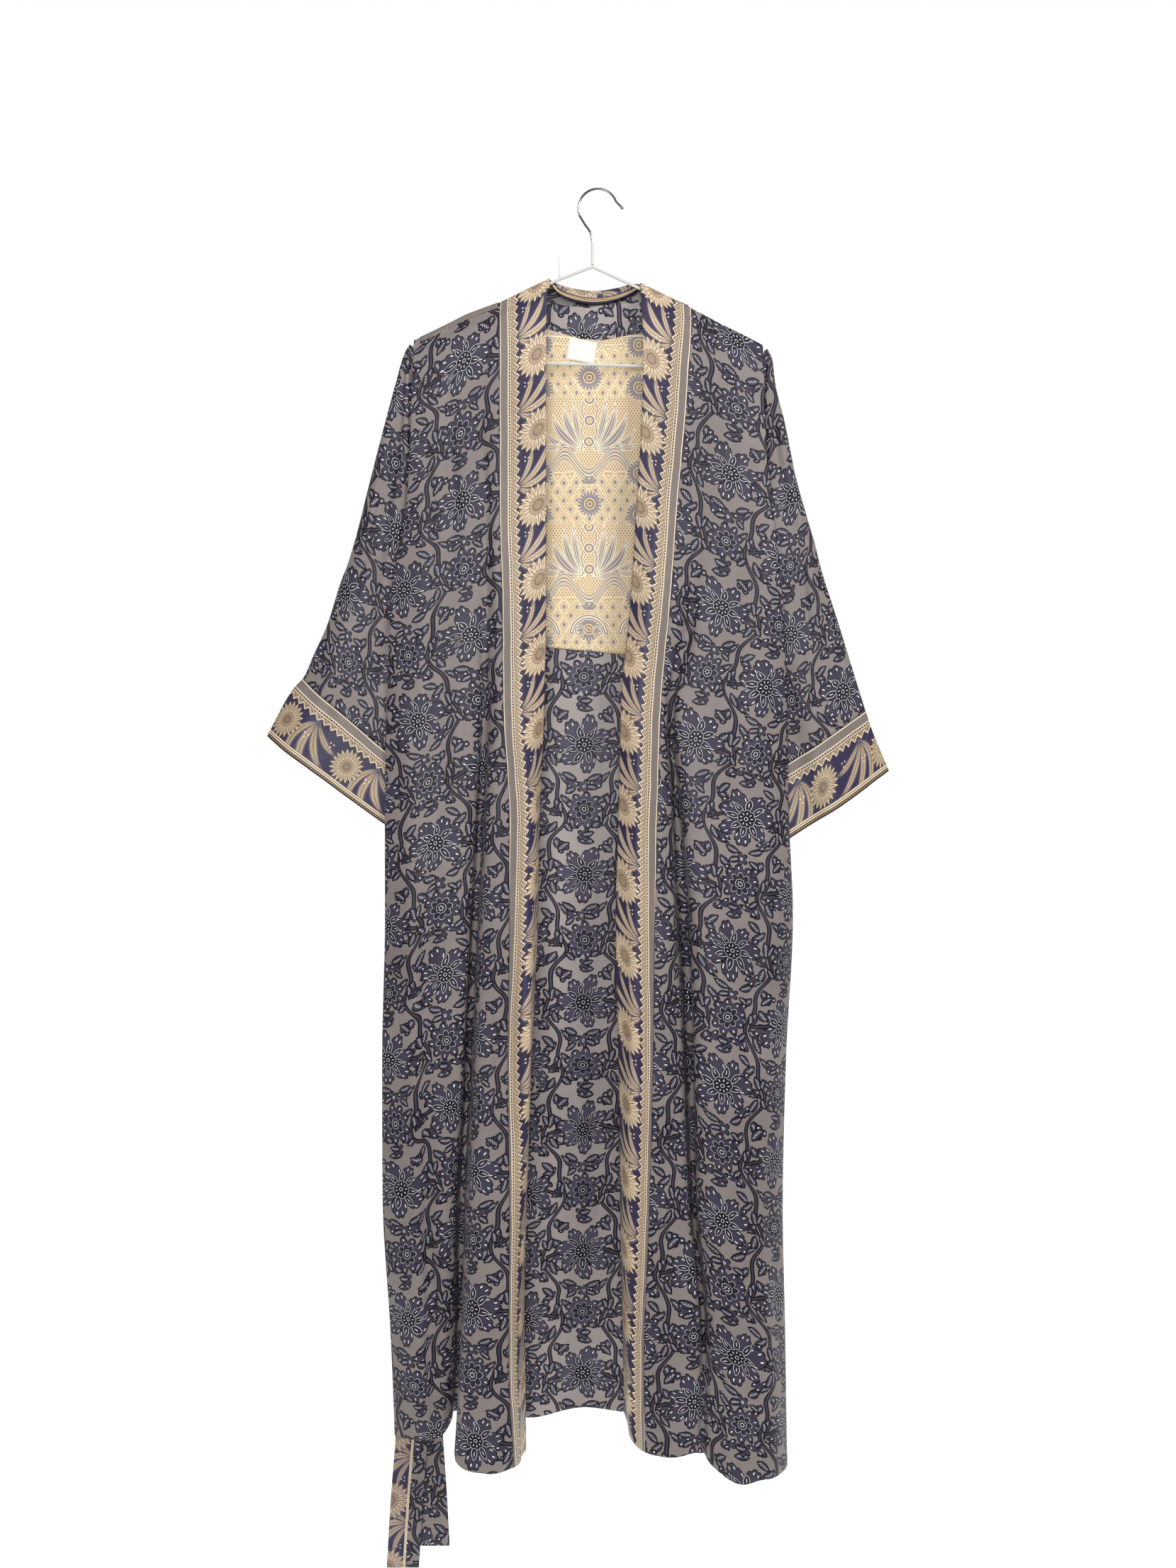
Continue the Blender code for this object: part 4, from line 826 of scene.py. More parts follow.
rightFrontShape = dict(
    name="rightFront", bandName="rightBand",
    nodes=("front_shoulder_right", "front_side_right", "front_right"),
    bandNodes=("band_shoulder_right", "band_right"), seam="rightSeam",
    gather=0.14, tuck=5.0, tape=None,
    waves=((88, -950, 0.9, 1.3), (52, 760, 0.5, 0.4), (150, 1300, 0.8, 2.6), (33, -480, 0.28, 2.0)),
    creases=(
        (182, -240, 170, -560, 7, 2.4), (160, -225, 148, -430, 6, 2.0),
        (198, -540, 190, -960, 8, 2.2), (160, -620, 152, -1000, 7, 2.0),
        (114, -320, 100, -640, 5, 1.6), (92, -700, 96, -1080, 5, 1.4),
        (204, -1000, 198, -1420, 8, 2.0), (178, -1080, 184, -1460, 6, 1.8),
        (150, -1160, 142, -1460, 6, 1.6),
    ),
    steps=(8, 6, 10, 8, 8, 8, 6, 4, 6, 6, 8, 10, 12), fold=2, ribbon=11,
    topX=(193.4, 192.6, 191.8, 177, 162, 146, 130, 126, 122, 117, 113, 109, 83, 50),
    x=(
        (193.3, 193.3, 192.8, 177, 162, 146, 130, 126, 122, 117, 113, 109, 83, 51),
        (184, 190, 195, 177, 162, 146, 130, 126, 122, 117, 111, 105, 80.5, 53),
        (178, 191, 197, 181, 164, 146, 131, 125, 121, 115, 106, 101, 76.5, 51),
        (176, 196, 204, 186, 167, 144, 129, 123, 117, 111, 101, 94, 69.5, 46.5),
        (175, 208, 218, 192, 168, 142, 122, 114, 109, 102, 93, 85, 60.5, 39),
        (175, 213, 224, 197, 170, 138, 94, 90, 84, 80, 77, 74, 50, 28),
        (175, 216, 227, 200, 172, 138, 102, 97, 91, 85, 77, 70, 46, 26),
        (175, 222, 233, 205, 176, 142, 112, 106, 100, 91, 77, 67, 43.5, 23),
        (175, 214, 226, 199, 174, 146, 118, 115, 109, 99, 84, 65, 43.5, 25.5),
        (175, 210, 223, 198, 172, 146, 120, 117, 112, 107, 88, 61, 42, 26.5),
        (175, 214, 227, 201, 177, 155, 131, 128, 124, 119, 89, 55, 41, 31),
    ),
    y=(
        (-4.5, -6.0, -7.8, -9, -9, -9, -9, -9, -9, -9, -9, -9, -9, -9),
        (-4.6, -5.6, -8.4, -11, -12, -12, -12, -12, -12, -12, -12, -12, -12.5, -10),
        (-4.6, -5.6, -8.4, -13, -14, -15, -15, -14, -14, -15, -15, -15, -16, -12),
        (-4.7, -6.0, -8.4, -16, -17, -19, -18, -17, -17, -18, -19, -19, -21, -13),
        (-4.9, -7.5, -10, -21, -22, -25, -23, -20, -20, -23, -24, -24, -27, -13),
        (-5.0, -8.0, -11, -26, -27, -31, -27, -17, -17, -25, -28, -28, -31, -17),
        (-5.0, -8.5, -12, -32, -33, -38, -33, -13, -13, -29, -33, -33, -37, -17),
        (-5.0, -8.5, -13, -38, -40, -46, -40, -12, -12, -34, -38, -38, -42, -20),
        (-5.0, -8.5, -15, -45, -47, -55, -48, -16, -16, -42, -46, -44, -50, -26),
        (-5.0, -9.0, -18, -53, -56, -64, -56, -26, -26, -50, -53, -50, -56, -30),
        (-5.0, -10, -22, -61, -64, -71, -63, -46, -46, -58, -60, -56, -62, -34),
    ),
    hem=(
        (175, 216, 230, 207, 188, 162, 132, 127, 122, 116, 80, 56, 43, 32),
        (-5.0, -11, -26, -64, -69, -75, -64, -54, -54, -58, -62, -57, -60, -34),
        (-1500, -1508, -1514, -1509, -1509, -1508, -1492, -1485, -1485, -1482, -1484, -1482, -1468, -1446),
    ),
)


def frontAndBand(shape, surface, bandSurface):
    # One grid from the side seam round the side fold to the front edge, cut where the ribbon starts.
    topX = np.array(shape["topX"], float)
    topZ = shoulder(topX)
    rows = rollRows(topX, lambda depth: np.full_like(topX, -depth), topZ)
    rows += onLevels(shape["x"], shape["y"], topZ)
    rows.append(np.stack([np.array(line, float) for line in shape["hem"]], axis=1))
    rows = np.array(rows)
    rollEnd = len(bodice["roll"])
    rows[rollEnd + 1:, 0, 0] = seamX(rows[rollEnd + 1:, 0, 2], bodice[shape["seam"]])
    sections = ((rollEnd - 1, front["rollCount"]), (len(rows) - 1, front["hangCount"]))
    grid = refined(rows, shape["steps"], sections)
    out = turned(normals(grid), (0, -1, 0))
    cut, fold = sum(shape["steps"][:shape["ribbon"]]), sum(shape["steps"][:shape["fold"]])
    u, v = walked(grid, 1, cut), walked(grid, 0)
    place = np.arange(grid.shape[1])[None, :]
    seen = smoothStep(fold, fold + front["seenSide"], place) * smoothStep(*front["seenTop"], v)
    least, more, top, foot = front["growth"]
    lift = rolling(u, v, shape["waves"]) * (least + more * smoothStep(top, foot, v))
    least, more, near, far = front["calmBand"]
    lift = lift * (least + more * smoothStep(near, far, np.abs(u)))
    grid = grid + out * ((lift + troughs(grid[..., 0], grid[..., 2], shape["creases"])) * seen)[..., None]
    out = levelled(turned(normals(grid), (0, -1, 0)), (0,), rollEnd + front["rollCount"])
    panel = drawnBack(grid[:, :cut + 1], (-1, 0))
    made = cloth(shape["name"], panel, plane(np.abs(u), v)[:, :cut + 1], hemmed(v)[:, :cut + 1], surface,
                 out[:, :cut + 1])
    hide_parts(*shape["nodes"])
    if shape["tape"]:
        last = int(np.searchsorted(v[:, cut // 2], tape["width"]))
        part = slice(0, last + 1), slice(fold + 4, cut - 1)
        sewn = grid[part] + out[part] * tape["lift"]
        cloth(tape["name"], sewn, plane(tape["start"] - v, np.abs(u))[part], tape["thickness"], bandSurface,
              out[part])
    below = smoothStep(front["gatherTop"], front["gatherFoot"], v)
    s = np.abs(u) * (1 + shape["gather"] * below) + shape["tuck"] * below
    bandMade = cloth(shape["bandName"], drawnBack(grid[:, cut:], (0,)), plane(s, v)[:, cut:],
                     bodice["bandThickness"], bandSurface, out[:, cut:])
    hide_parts(*shape["bandNodes"])
    return made, bandMade


leftFront, leftBand = frontAndBand(leftFrontShape, printLeft, border)
rightFront, rightBand = frontAndBand(rightFrontShape, printRight, border)
print("fronts and bands ready")

backShape = dict(
    foldInset=(0.0, 6.2, 7.8, 8.4, 9.5, 14.0), foldReach=(0.0, 0.0, 0.1, 1.0, 1.2, 1.03),
    foldDepth=(0.0, 0.17, 0.5, 0.62, 0.74, 0.92),
    sides=(  # depth at the seams, then left and right reach of the fold and depth of its outer layer
        (2.9, 0, 0, 4.4, 4.4),
        (4.4, 0, 0, 7.0, 7.0),
        (5.6, 0, 0, 10.0, 10.2),
        (7.0, 0, 0, 13.4, 13.4),
        (-4.6, 0, 0, 16.5, 17),
        (-4.6, 0, 0, 20, 20),
        (-4.6, 2, 2, 23, 24),
        (-4.6, 22, 18, 27, 27),
        (-4.6, 42, 36, 30, 30),
        (-4.6, 54, 44, 32, 32),
        (-4.6, 55, 48, 33, 34),
        (-4.6, 54, 48, 33, 34),
    ),
    lineX=(-162, -126, -110, -82, -12, 48, 94, 112, 147),
    topY=(0.2, 0.2, 3.0, 6.0, 14.8, 7.6, 3.0, 0.2, 0.2),
    topDrop=(0.0, 0.3, 3.5, 13.0, 19.0, 18.0, 3.5, 0.3, 0.0),
    y=(
        (5.4, 6.2, 6.8, 9.4, 15.4, 10.4, 7.2, 6.4, 5.4),
        (8.4, 10.2, 11.4, 13.4, 16.0, 13.4, 11.1, 10.2, 8.4),
        (11.0, 12.4, 13.3, 14.8, 16.4, 14.8, 13.2, 12.6, 11.0),
        (14.4, 15.6, 15.9, 16.4, 17.0, 16.6, 16.0, 15.8, 14.4),
        (18.2, 19.0, 18.8, 18.4, 18.6, 19.4, 19.8, 20.0, 18.6),
        (21.8, 22.0, 21.1, 19.6, 20.6, 22.0, 22.7, 23.0, 22.0),
        (25.2, 24.4, 22.9, 20.4, 23.2, 24.6, 25.6, 26.0, 26.0),
        (29.0, 27.0, 24.8, 21.0, 26.2, 26.6, 28.3, 29.0, 29.4),
        (32.0, 29.0, 26.1, 21.0, 30.0, 28.0, 30.9, 32.0, 32.4),
        (34.6, 31.4, 27.5, 20.6, 34.0, 29.6, 32.8, 34.0, 35.0),
        (36.2, 33.4, 28.5, 20.0, 37.0, 31.0, 34.6, 36.0, 36.6),
        (36.4, 34.4, 29.2, 20.0, 38.0, 32.0, 35.6, 37.0, 37.0),
    ),
    hemZ=(-1484, -1484, -1486, -1487, -1490, -1489, -1487, -1486, -1487, -1487, -1484, -1487,
          -1489, -1490, -1492, -1496, -1500, -1500, -1498, -1499, -1500),
    steps=(3, 2, 12, 4, 4, 8, 8, 4, 8, 18, 16, 12, 4, 8, 8, 4, 4, 12, 2, 3),
    middle=9, side=5, rollCount=12, hangCount=260,  # steps to the middle and over a fold, and fine rows
    seenSide=10, seenTop=(420, 620),
    waves=((180, 1400, 1.1, 0.4), (110, -900, 0.7, 2.2), (260, 800, 0.9, 4.0), (64, 600, 0.3, 1.0)),
    creases=(
        (-120, -520, -104, -1000, 12, 2.6), (-40, -700, -58, -1300, 14, 2.6),
        (30, -560, 22, -1100, 12, 2.4), (90, -620, 104, -1200, 12, 2.8),
        (-150, -900, -160, -1440, 12, 2.4), (128, -1000, 138, -1450, 10, 2.2),
        (-20, -1000, -4, -1450, 12, 2.0), (60, -1050, 52, -1460, 10, 2.0),
        (-90, -1100, -84, -1460, 12, 2.2),
    ),
)


def sideFold(seam, seamDepth, reach, depth, outward):
    # From the side seam round the fold to the outer layer, as x and y: seam + outward·(reach·share -
    # inset) and seamDepth + share·(depth - seamDepth).
    x = seam + outward * (reach * np.array(backShape["foldReach"]) - np.array(backShape["foldInset"]))
    return np.stack([x, seamDepth + np.array(backShape["foldDepth"]) * (depth - seamDepth)], axis=1)


def backPanel(surface):
    # The roll over the hanger with the neck's curve, the levels with both side folds, and the hem.
    shape = backShape
    inset = np.array(shape["foldInset"])
    topX = np.concatenate([bodice["leftSeam"][0] + inset, shape["lineX"],
                           (bodice["rightSeam"][0] - inset)[::-1]])
    flat, start = np.zeros(len(inset)), bodice["roll"][0][1]
    topY = np.concatenate([flat + start, shape["topY"], flat + start])
    topZ = shoulder(topX) - np.concatenate([flat, shape["topDrop"], flat])
    xRows, yRows = [], []
    levels, shares = (*bodice["levels"], shape["hemZ"][0]), (*bodice["slopeShares"], 0.0)
    for level, share, sides, middle in zip(levels, shares, shape["sides"], shape["y"]):
        leftZ, rightZ = (level + share * (end - bodice["neckLevel"]) for end in (topZ[0], topZ[-1]))
        seamDepth, leftReach, rightReach, leftDepth, rightDepth = sides
        left = sideFold(seamX(leftZ, bodice["leftSeam"]), seamDepth, leftReach, leftDepth, -1)
        right = sideFold(seamX(rightZ, bodice["rightSeam"]), seamDepth, rightReach, rightDepth, 1)
        xRows.append(np.concatenate([left[:, 0], shape["lineX"], right[::-1, 0]]))
        yRows.append(np.concatenate([left[:, 1], middle, right[::-1, 1]]))
    rows = rollRows(topX, lambda depth: topY + np.minimum(depth - start, yRows[0] - topY), topZ)
    rows += onLevels(xRows, yRows, topZ)
    rows.append(np.stack([xRows[-1], yRows[-1], np.array(shape["hemZ"], float)], axis=1))
    rollEnd = len(bodice["roll"])
    sections = ((rollEnd - 1, shape["rollCount"]), (len(rows) - 1, shape["hangCount"]))
    grid = refined(rows, shape["steps"], sections)
    out = turned(normals(grid), (0, 1, 0))
    u, v = walked(grid, 1, sum(shape["steps"][:shape["middle"]])), walked(grid, 0)
    place = np.arange(grid.shape[1])[None, :]
    edge = np.minimum(place, grid.shape[1] - 1 - place)
    clear = sum(shape["steps"][:shape["side"]])
    seen = smoothStep(clear, clear + shape["seenSide"], edge) * smoothStep(*shape["seenTop"], v)
    lift = (rolling(u, v, shape["waves"]) + troughs(grid[..., 0], grid[..., 2], shape["creases"])) * seen
    grid = grid + out * lift[..., None]
    out = levelled(turned(normals(grid), (0, 1, 0)), (0, -1), rollEnd + shape["rollCount"])
    grid = drawnBack(grid, (0, -1))
    made = cloth("backPanel", grid, plane(u, v), hemmed(v), surface, out)
    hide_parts("back_shoulder_left", "back_neck", "back_shoulder_right", "back_armhole_left",
                "back_chest", "back_armhole_right", "back_side_left", "back", "back_side_right")
    return made, grid


back, backGrid = backPanel(printBack)
print("back ready")

leftSleeveShape = dict(
    name="leftSleeve", cuffName="leftCuff", nodes=("sleeve_left",), cuffNodes=("cuff_left",),
    waves=((70, 420, 0.5, 0.4), (44, -300, 0.35, 2.0), (120, 700, 0.6, 1.0)),
    creases=(
        (-236, -210, -262, -420, 5, 1.8), (-250, -330, -300, -560, 6, 2.0),
        (-226, -360, -262, -600, 6, 1.8), (-212, -480, -232, -640, 5, 1.4),
        (-310, -480, -330, -540, 5, 1.2),
    ),
    edges=(
        (-219.6, -176.4, -215.9, -179.4),
        (-225.4, -186.0, -215.2, -189.0),
        (-236.4, -221.0, -207.4, -223.0),
        (-252.4, -277.0, -195.4, -281.0),
        (-271.4, -347.0, -192.2, -353.0),
        (-288.0, -408.0, -191.2, -430.0),
        (-296.0, -432.0, -192.2, -462.0),
        (-303.4, -450.0, -194.6, -500.0),
        (-321.4, -504.0, -199.0, -590.0),
        (-337.4, -538.0, -204.0, -650.0),
        (-350.6, -566.0, -208.0, -690.0),
        (-361.0, -577.0, -213.0, -703.0),
        (-394.0, -634.0, -246.0, -746.0),
    ),
    y=(
        (-2.7, -2.7, -2.4, -2.0, -1.5, -0.8, 0.0, 0.9, 2.0, 2.7, 2.7),
        (-2.75, -2.75, -3.0, -4.8, -3.8, -3.4, 0.0, 3.2, 3.4, 3.0, 3.0),
        (-2.75, -2.75, -3.0, -7.6, -4.4, -6.0, 0.0, 5.6, 6.2, 4.8, 4.8),
        (-2.75, -2.75, -3.2, -8.6, -4.4, -8.0, 0.5, 7.6, 8.6, 5.8, 5.8),
        (-2.8, -2.8, -3.4, -9.6, -4.8, -9.4, 1.0, 9.4, 10.6, 7.2, 7.0),
        (-2.8, -2.9, -3.8, -10.0, -5.4, -10.6, 1.5, 11.4, 12.4, 6.4, 5.4),
        (-0.6, -2.7, -4.2, -9.8, -6.0, -10.8, 1.8, 12.0, 13.0, 5.4, 3.6),
        (1.2, -2.2, -5.0, -9.2, -6.8, -11.0, 2.0, 12.6, 13.4, 6.0, 2.6),
        (1.9, -2.0, -6.2, -8.8, -8.0, -11.2, 2.0, 13.4, 14.0, 6.6, 3.1),
        (1.9, -2.0, -7.0, -9.2, -9.4, -11.4, 2.0, 14.0, 14.6, 6.8, 3.1),
        (1.9, -2.0, -7.8, -10.0, -10.6, -11.6, 2.0, 14.4, 15.0, 6.8, 3.1),
        (1.9, -2.0, -8.2, -10.4, -11.0, -12.0, 2.0, 14.8, 15.4, 6.8, 3.1),
        (1.9, -2.0, -9.0, -11.4, -12.2, -13.0, 2.0, 15.6, 16.2, 6.8, 3.1),
    ),
)
rightSleeveShape = dict(
    name="rightSleeve", cuffName="rightCuff", nodes=("sleeve_right",), cuffNodes=("cuff_right",),
    waves=((66, -400, 0.5, 1.4), (41, 320, 0.35, 0.3), (130, 650, 0.6, 3.0)),
    creases=(
        (206, -240, 214, -430, 5, 1.8), (222, -330, 258, -560, 6, 2.0),
        (200, -400, 226, -640, 6, 1.8), (268, -470, 292, -600, 5, 1.4),
    ),
    edges=(
        (198.6, -181.2, 194.9, -184.2),
        (203.8, -191.0, 193.8, -194.0),
        (208.6, -223.0, 186.6, -226.0),
        (219.4, -264.0, 180.4, -270.0),
        (234.4, -332.0, 177.6, -340.0),
        (249.4, -382.0, 176.2, -420.0),
        (257.0, -407.0, 177.0, -456.0),
        (264.4, -435.0, 179.0, -496.0),
        (283.4, -492.0, 182.0, -570.0),
        (302.4, -551.0, 186.0, -640.0),
        (319.6, -604.0, 190.0, -692.0),
        (326.4, -624.0, 191.6, -711.0),
        (348.4, -676.0, 198.0, -778.0),
    ),
    y=(
        (-2.7, -2.7, -2.4, -2.0, -1.5, -0.8, 0.0, 0.9, 2.0, 2.7, 2.7),
        (-2.75, -2.75, -3.0, -4.2, -3.8, -3.2, 0.0, 3.2, 3.4, 3.0, 3.0),
        (-2.75, -2.75, -3.0, -5.6, -4.4, -5.0, 0.0, 5.4, 6.2, 4.8, 4.8),
        (-2.75, -2.75, -3.2, -6.8, -4.6, -6.6, 0.5, 7.0, 8.0, 5.6, 5.6),
        (-2.8, -2.8, -3.4, -8.0, -5.0, -8.6, 1.0, 9.4, 10.4, 7.0, 6.8),
        (-2.8, -2.9, -3.8, -8.8, -6.0, -9.8, 1.5, 11.4, 12.4, 6.4, 5.4),
        (-0.6, -2.7, -4.2, -9.2, -7.0, -10.2, 1.8, 12.0, 13.0, 5.4, 3.6),
        (1.2, -2.2, -4.8, -9.6, -8.4, -10.8, 2.0, 12.6, 13.4, 6.0, 2.6),
        (1.9, -2.0, -5.6, -11.6, -11.0, -11.6, 2.0, 13.4, 14.0, 6.6, 3.1),
        (1.9, -2.0, -6.6, -14.0, -13.0, -8.0, 2.0, 14.0, 14.6, 6.8, 3.1),
        (1.9, -2.0, -7.6, -15.6, -15.0, -6.0, 2.0, 14.4, 15.0, 6.8, 3.1),
        (1.9, -2.0, -7.8, -16.0, -15.6, -5.6, 2.0, 14.8, 15.4, 6.8, 3.1),
        (1.9, -2.0, -8.4, -16.8, -17.0, -6.4, 2.0, 15.6, 16.2, 6.8, 3.1),
    ),
)
sleeveLines = dict(
    # from the inner to the outer edge, and back
    places=(0.0, 0.04, 0.37, 0.53, 0.66, 0.84, 1.0, 0.86, 0.45, 0.04, 0.0),
    steps=(3, 12, 8, 8, 8, 8, 8, 14, 14, 3),
    sections=((1, 12), (10, 150), (12, 40)),  # head, sleeve and cuff, each with its fine rows
    probe=100, probeStep=4, outerStep=6,  # where the front's normal is read, and steps to the outer edge
    seenSide=(4, 16), seenFold=8, seenTop=(10, 60), rear=(0, 8, 20, 30), rearTop=(20, 90),
    cuffWidth=66.0,
)


def frontward(grid):
    # Normals of a tube, turned so that its front wall's point to the front.
    out = normals(grid)
    ahead = out[sleeveLines["probe"], sum(sleeveLines["steps"][:sleeveLines["probeStep"]]), 1]
    return out if ahead < 0 else -out


def sleeveAndCuff(shape, surface, cuffSurface):
    # A flat tube down its stations, inner + share·(outer - inner), cut where the cuff is sewn on.
    lines = sleeveLines
    share = np.array(lines["places"])
    rows = []
    for (outerX, outerZ, innerX, innerZ), depth in zip(shape["edges"], shape["y"]):
        rows.append(np.stack([innerX + share * (outerX - innerX), np.array(depth, float),
                              innerZ + share * (outerZ - innerZ)], axis=1))
    grid = refined(rows, lines["steps"], lines["sections"])
    cut = sum(count for row, count in lines["sections"][:-1])
    out = frontward(grid)
    u, v = walked(grid, 1), walked(grid, 0)
    place = np.arange(grid.shape[1])[None, :]
    outer = sum(lines["steps"][:lines["outerStep"]])
    seen = smoothStep(*lines["seenSide"], place) * (1 - smoothStep(outer - lines["seenFold"], outer, place))
    seen = seen * smoothStep(*lines["seenTop"], v)
    a, b, c, d = (outer + away for away in lines["rear"])
    rear = smoothStep(a, b, place) * (1 - smoothStep(c, d, place)) * smoothStep(*lines["rearTop"], v)
    lift = (rolling(u, v, shape["waves"]) * (seen + rear)
            + troughs(grid[..., 0], grid[..., 2], shape["creases"]) * seen)
    grid = grid + out * lift[..., None]
    out = frontward(grid)
    made = cloth(shape["name"], drawnBack(grid[:cut + 1], (-1,), 0), plane(u, v)[:cut + 1],
                 bodice["thickness"], surface, out[:cut + 1])
    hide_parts(*shape["nodes"])
    s = v[cut:] - v[cut:cut + 1]
    s = s * lines["cuffWidth"] / s[-1]
    cuffMade = cloth(shape["cuffName"], drawnBack(grid[cut:], (0,), 0), plane(s, u[cut:]),
                     bodice["bandThickness"], cuffSurface, out[cut:])
    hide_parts(*shape["cuffNodes"])
    return made, cuffMade


leftSleeve, leftCuff = sleeveAndCuff(leftSleeveShape, printLeft, cuffCloth)
rightSleeve, rightCuff = sleeveAndCuff(rightSleeveShape, printRight, cuffCloth)
print("sleeves and cuffs ready")

neckShape = dict(
    stations=(
        ((-56.6, 2.4, -101.4), (-112.4, 1.6, -126.8), 2.2),
        ((-54.5, 5.5, -101.4), (-109.0, 10.8, -135.0), 6.0),
        ((-46.0, 9.8, -104.0), (-88.0, 17.0, -152.0), 12.0),
        ((-27.0, 13.6, -107.8), (-46.0, 21.0, -160.0), 15.0),
        ((-3.0, 15.2, -110.0), (-3.0, 22.4, -163.0), 15.5),
        ((22.0, 13.6, -107.2), (38.0, 21.0, -160.0), 15.0),
        ((40.0, 9.8, -104.0), (78.0, 17.0, -153.0), 12.0),
        ((48.5, 5.5, -105.4), (104.0, 11.2, -139.2), 6.0),
        ((51.0, 2.4, -107.4), (106.4, 1.6, -130.8), 2.2),
    ),
    fold=2.4, leastFold=0.3, thickness=0.9, steps=(6, 4, 4, 10, 10), between=14,
    pipes=(("neckPipeLower", 0.30), ("neckPipeUpper", 0.54)),
    pipeRadius=0.6, pipeAhead=0.75, pipeColumn=4, pipeEnd=3,
)


def neckBand(surface):
    # Folded over the neck edge: the inner leg hangs inside, the outer leg lies over the back. Each
    # station goes from the inner leg's foot, over crest ± outward·fold, to the outer leg's foot.
    stations = neckShape["stations"]
    crests = np.array([crest for crest, low, drop in stations])
    course = np.gradient(crests, axis=0)
    outward = unit(np.stack([-course[:, 1], course[:, 0], np.zeros(len(crests))], axis=1))
    down = np.array([0, 0, -1.0])
    rows = []
    for (crest, low, drop), out in zip(stations, outward):
        crest, low = np.array(crest), np.array(low)
        lean = unit(np.array([low[0] - crest[0], 0.0, low[2] - crest[2]]))
        fold = min(neckShape["fold"], neckShape["leastFold"] + drop / 3)
        outside = crest + out * fold + lean * fold
        rows.append([crest - out * fold + down * drop, crest - out * fold + down * fold, crest, outside,
                     (outside + low) / 2, low])
    grid = across(np.array(rows), neckShape["steps"])
    between = (neckShape["between"],) * (len(stations) - 1)
    grid = np.swapaxes(across(np.swapaxes(grid, 0, 1), between), 0, 1)
    made = cloth("neckBand", grid, plane(walked(grid, 1), walked(grid, 0)), neckShape["thickness"], surface)
    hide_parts("neck_band")
    return made, grid


innerShape = dict(
    left=-150.0, right=128.0, topX=(-150, -105, -60, -18, 8, 52, 100, 128),
    topZ=(-172, -158, -155, -166, -167, -160, -164, -172), foot=(-520.0, -545.0), apart=1.75, thickness=0.8,
    columns=110, rows=150, middle=55, printTop=160,
    tableX=(-180, 160, 171), tableZ=(-140, -560, 211),  # where the back's depth is read, and how often
)
labelShape = dict(centre=(-18.6, -179.8), size=(34.0, 25.0), tilt=-9.6, apart=1.35, bow=0.5, bowWidth=6,
                  thickness=0.5, columns=30, rows=22)


def depthTable(grid, xs, zs):
    # Depth of a hanging sheet on a grid of places seen from the front, straight between its points.
    columns = np.swapaxes(grid, 0, 1)
    foundX, foundY = (np.array([np.interp(-zs, -column[:, 2], column[:, axis]) for column in columns])
                      for axis in (0, 1))
    return np.array([np.interp(xs, foundX[:, row], foundY[:, row]) for row in range(len(zs))])


def depthAt(table, xs, zs, x, z):
    # A place between the table's rows and columns: the mean of its four neighbours by nearness.
    i = np.clip((x - xs[0]) / (xs[1] - xs[0]), 0, len(xs) - 1.001)
    j = np.clip((z - zs[0]) / (zs[1] - zs[0]), 0, len(zs) - 1.001)
    a, b = i.astype(int), j.astype(int)
    s, t = i - a, j - b
    return ((table[b, a] * (1 - s) + table[b, a + 1] * s) * (1 - t)
            + (table[b + 1, a] * (1 - s) + table[b + 1, a + 1] * s) * t)


def innerPanel(surface):
    # The panel hangs in front of the back, from under the neck band to a straight hem: top +
    # share·(foot - top). The label lies on it, turned by its tilt and bowed a little.
    shape = innerShape
    xs, zs = np.linspace(*shape["tableX"]), np.linspace(*shape["tableZ"])
    table = depthTable(backGrid, xs, zs)
    x = np.linspace(shape["left"], shape["right"], shape["columns"])[None, :]
    share = np.linspace(0, 1, shape["rows"])[:, None]
    top = np.interp(x, shape["topX"], shape["topZ"])
    foot = np.interp(x, (shape["left"], shape["right"]), shape["foot"])
    z = top + share * (foot - top)
    x = np.broadcast_to(x, z.shape)
    grid = np.stack([x, depthAt(table, xs, zs, x, z) - shape["apart"], z], axis=2)
    made = cloth("innerPanel", grid, plane(walked(grid, 1, shape["middle"]), -z - shape["printTop"]),
                 shape["thickness"], surface)
    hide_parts("back_facing")
    sewn = labelShape
    turn = math.radians(sewn["tilt"])
    a = np.linspace(-0.5, 0.5, sewn["columns"])[None, :] * sewn["size"][0]
    b = np.linspace(0.5, -0.5, sewn["rows"])[:, None] * sewn["size"][1]
    x = sewn["centre"][0] + a * math.cos(turn) - b * math.sin(turn)
    z = sewn["centre"][1] + a * math.sin(turn) + b * math.cos(turn)
    bow = sewn["bow"] * np.cos(a / sewn["bowWidth"]) * np.ones_like(b)
    y = depthAt(table, xs, zs, x, z) - shape["apart"] - sewn["apart"] - bow
    label = cloth("neckLabel", np.stack([x, y, z], axis=2), plane(a, b), sewn["thickness"], labelTape)
    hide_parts("label")
    return made, label


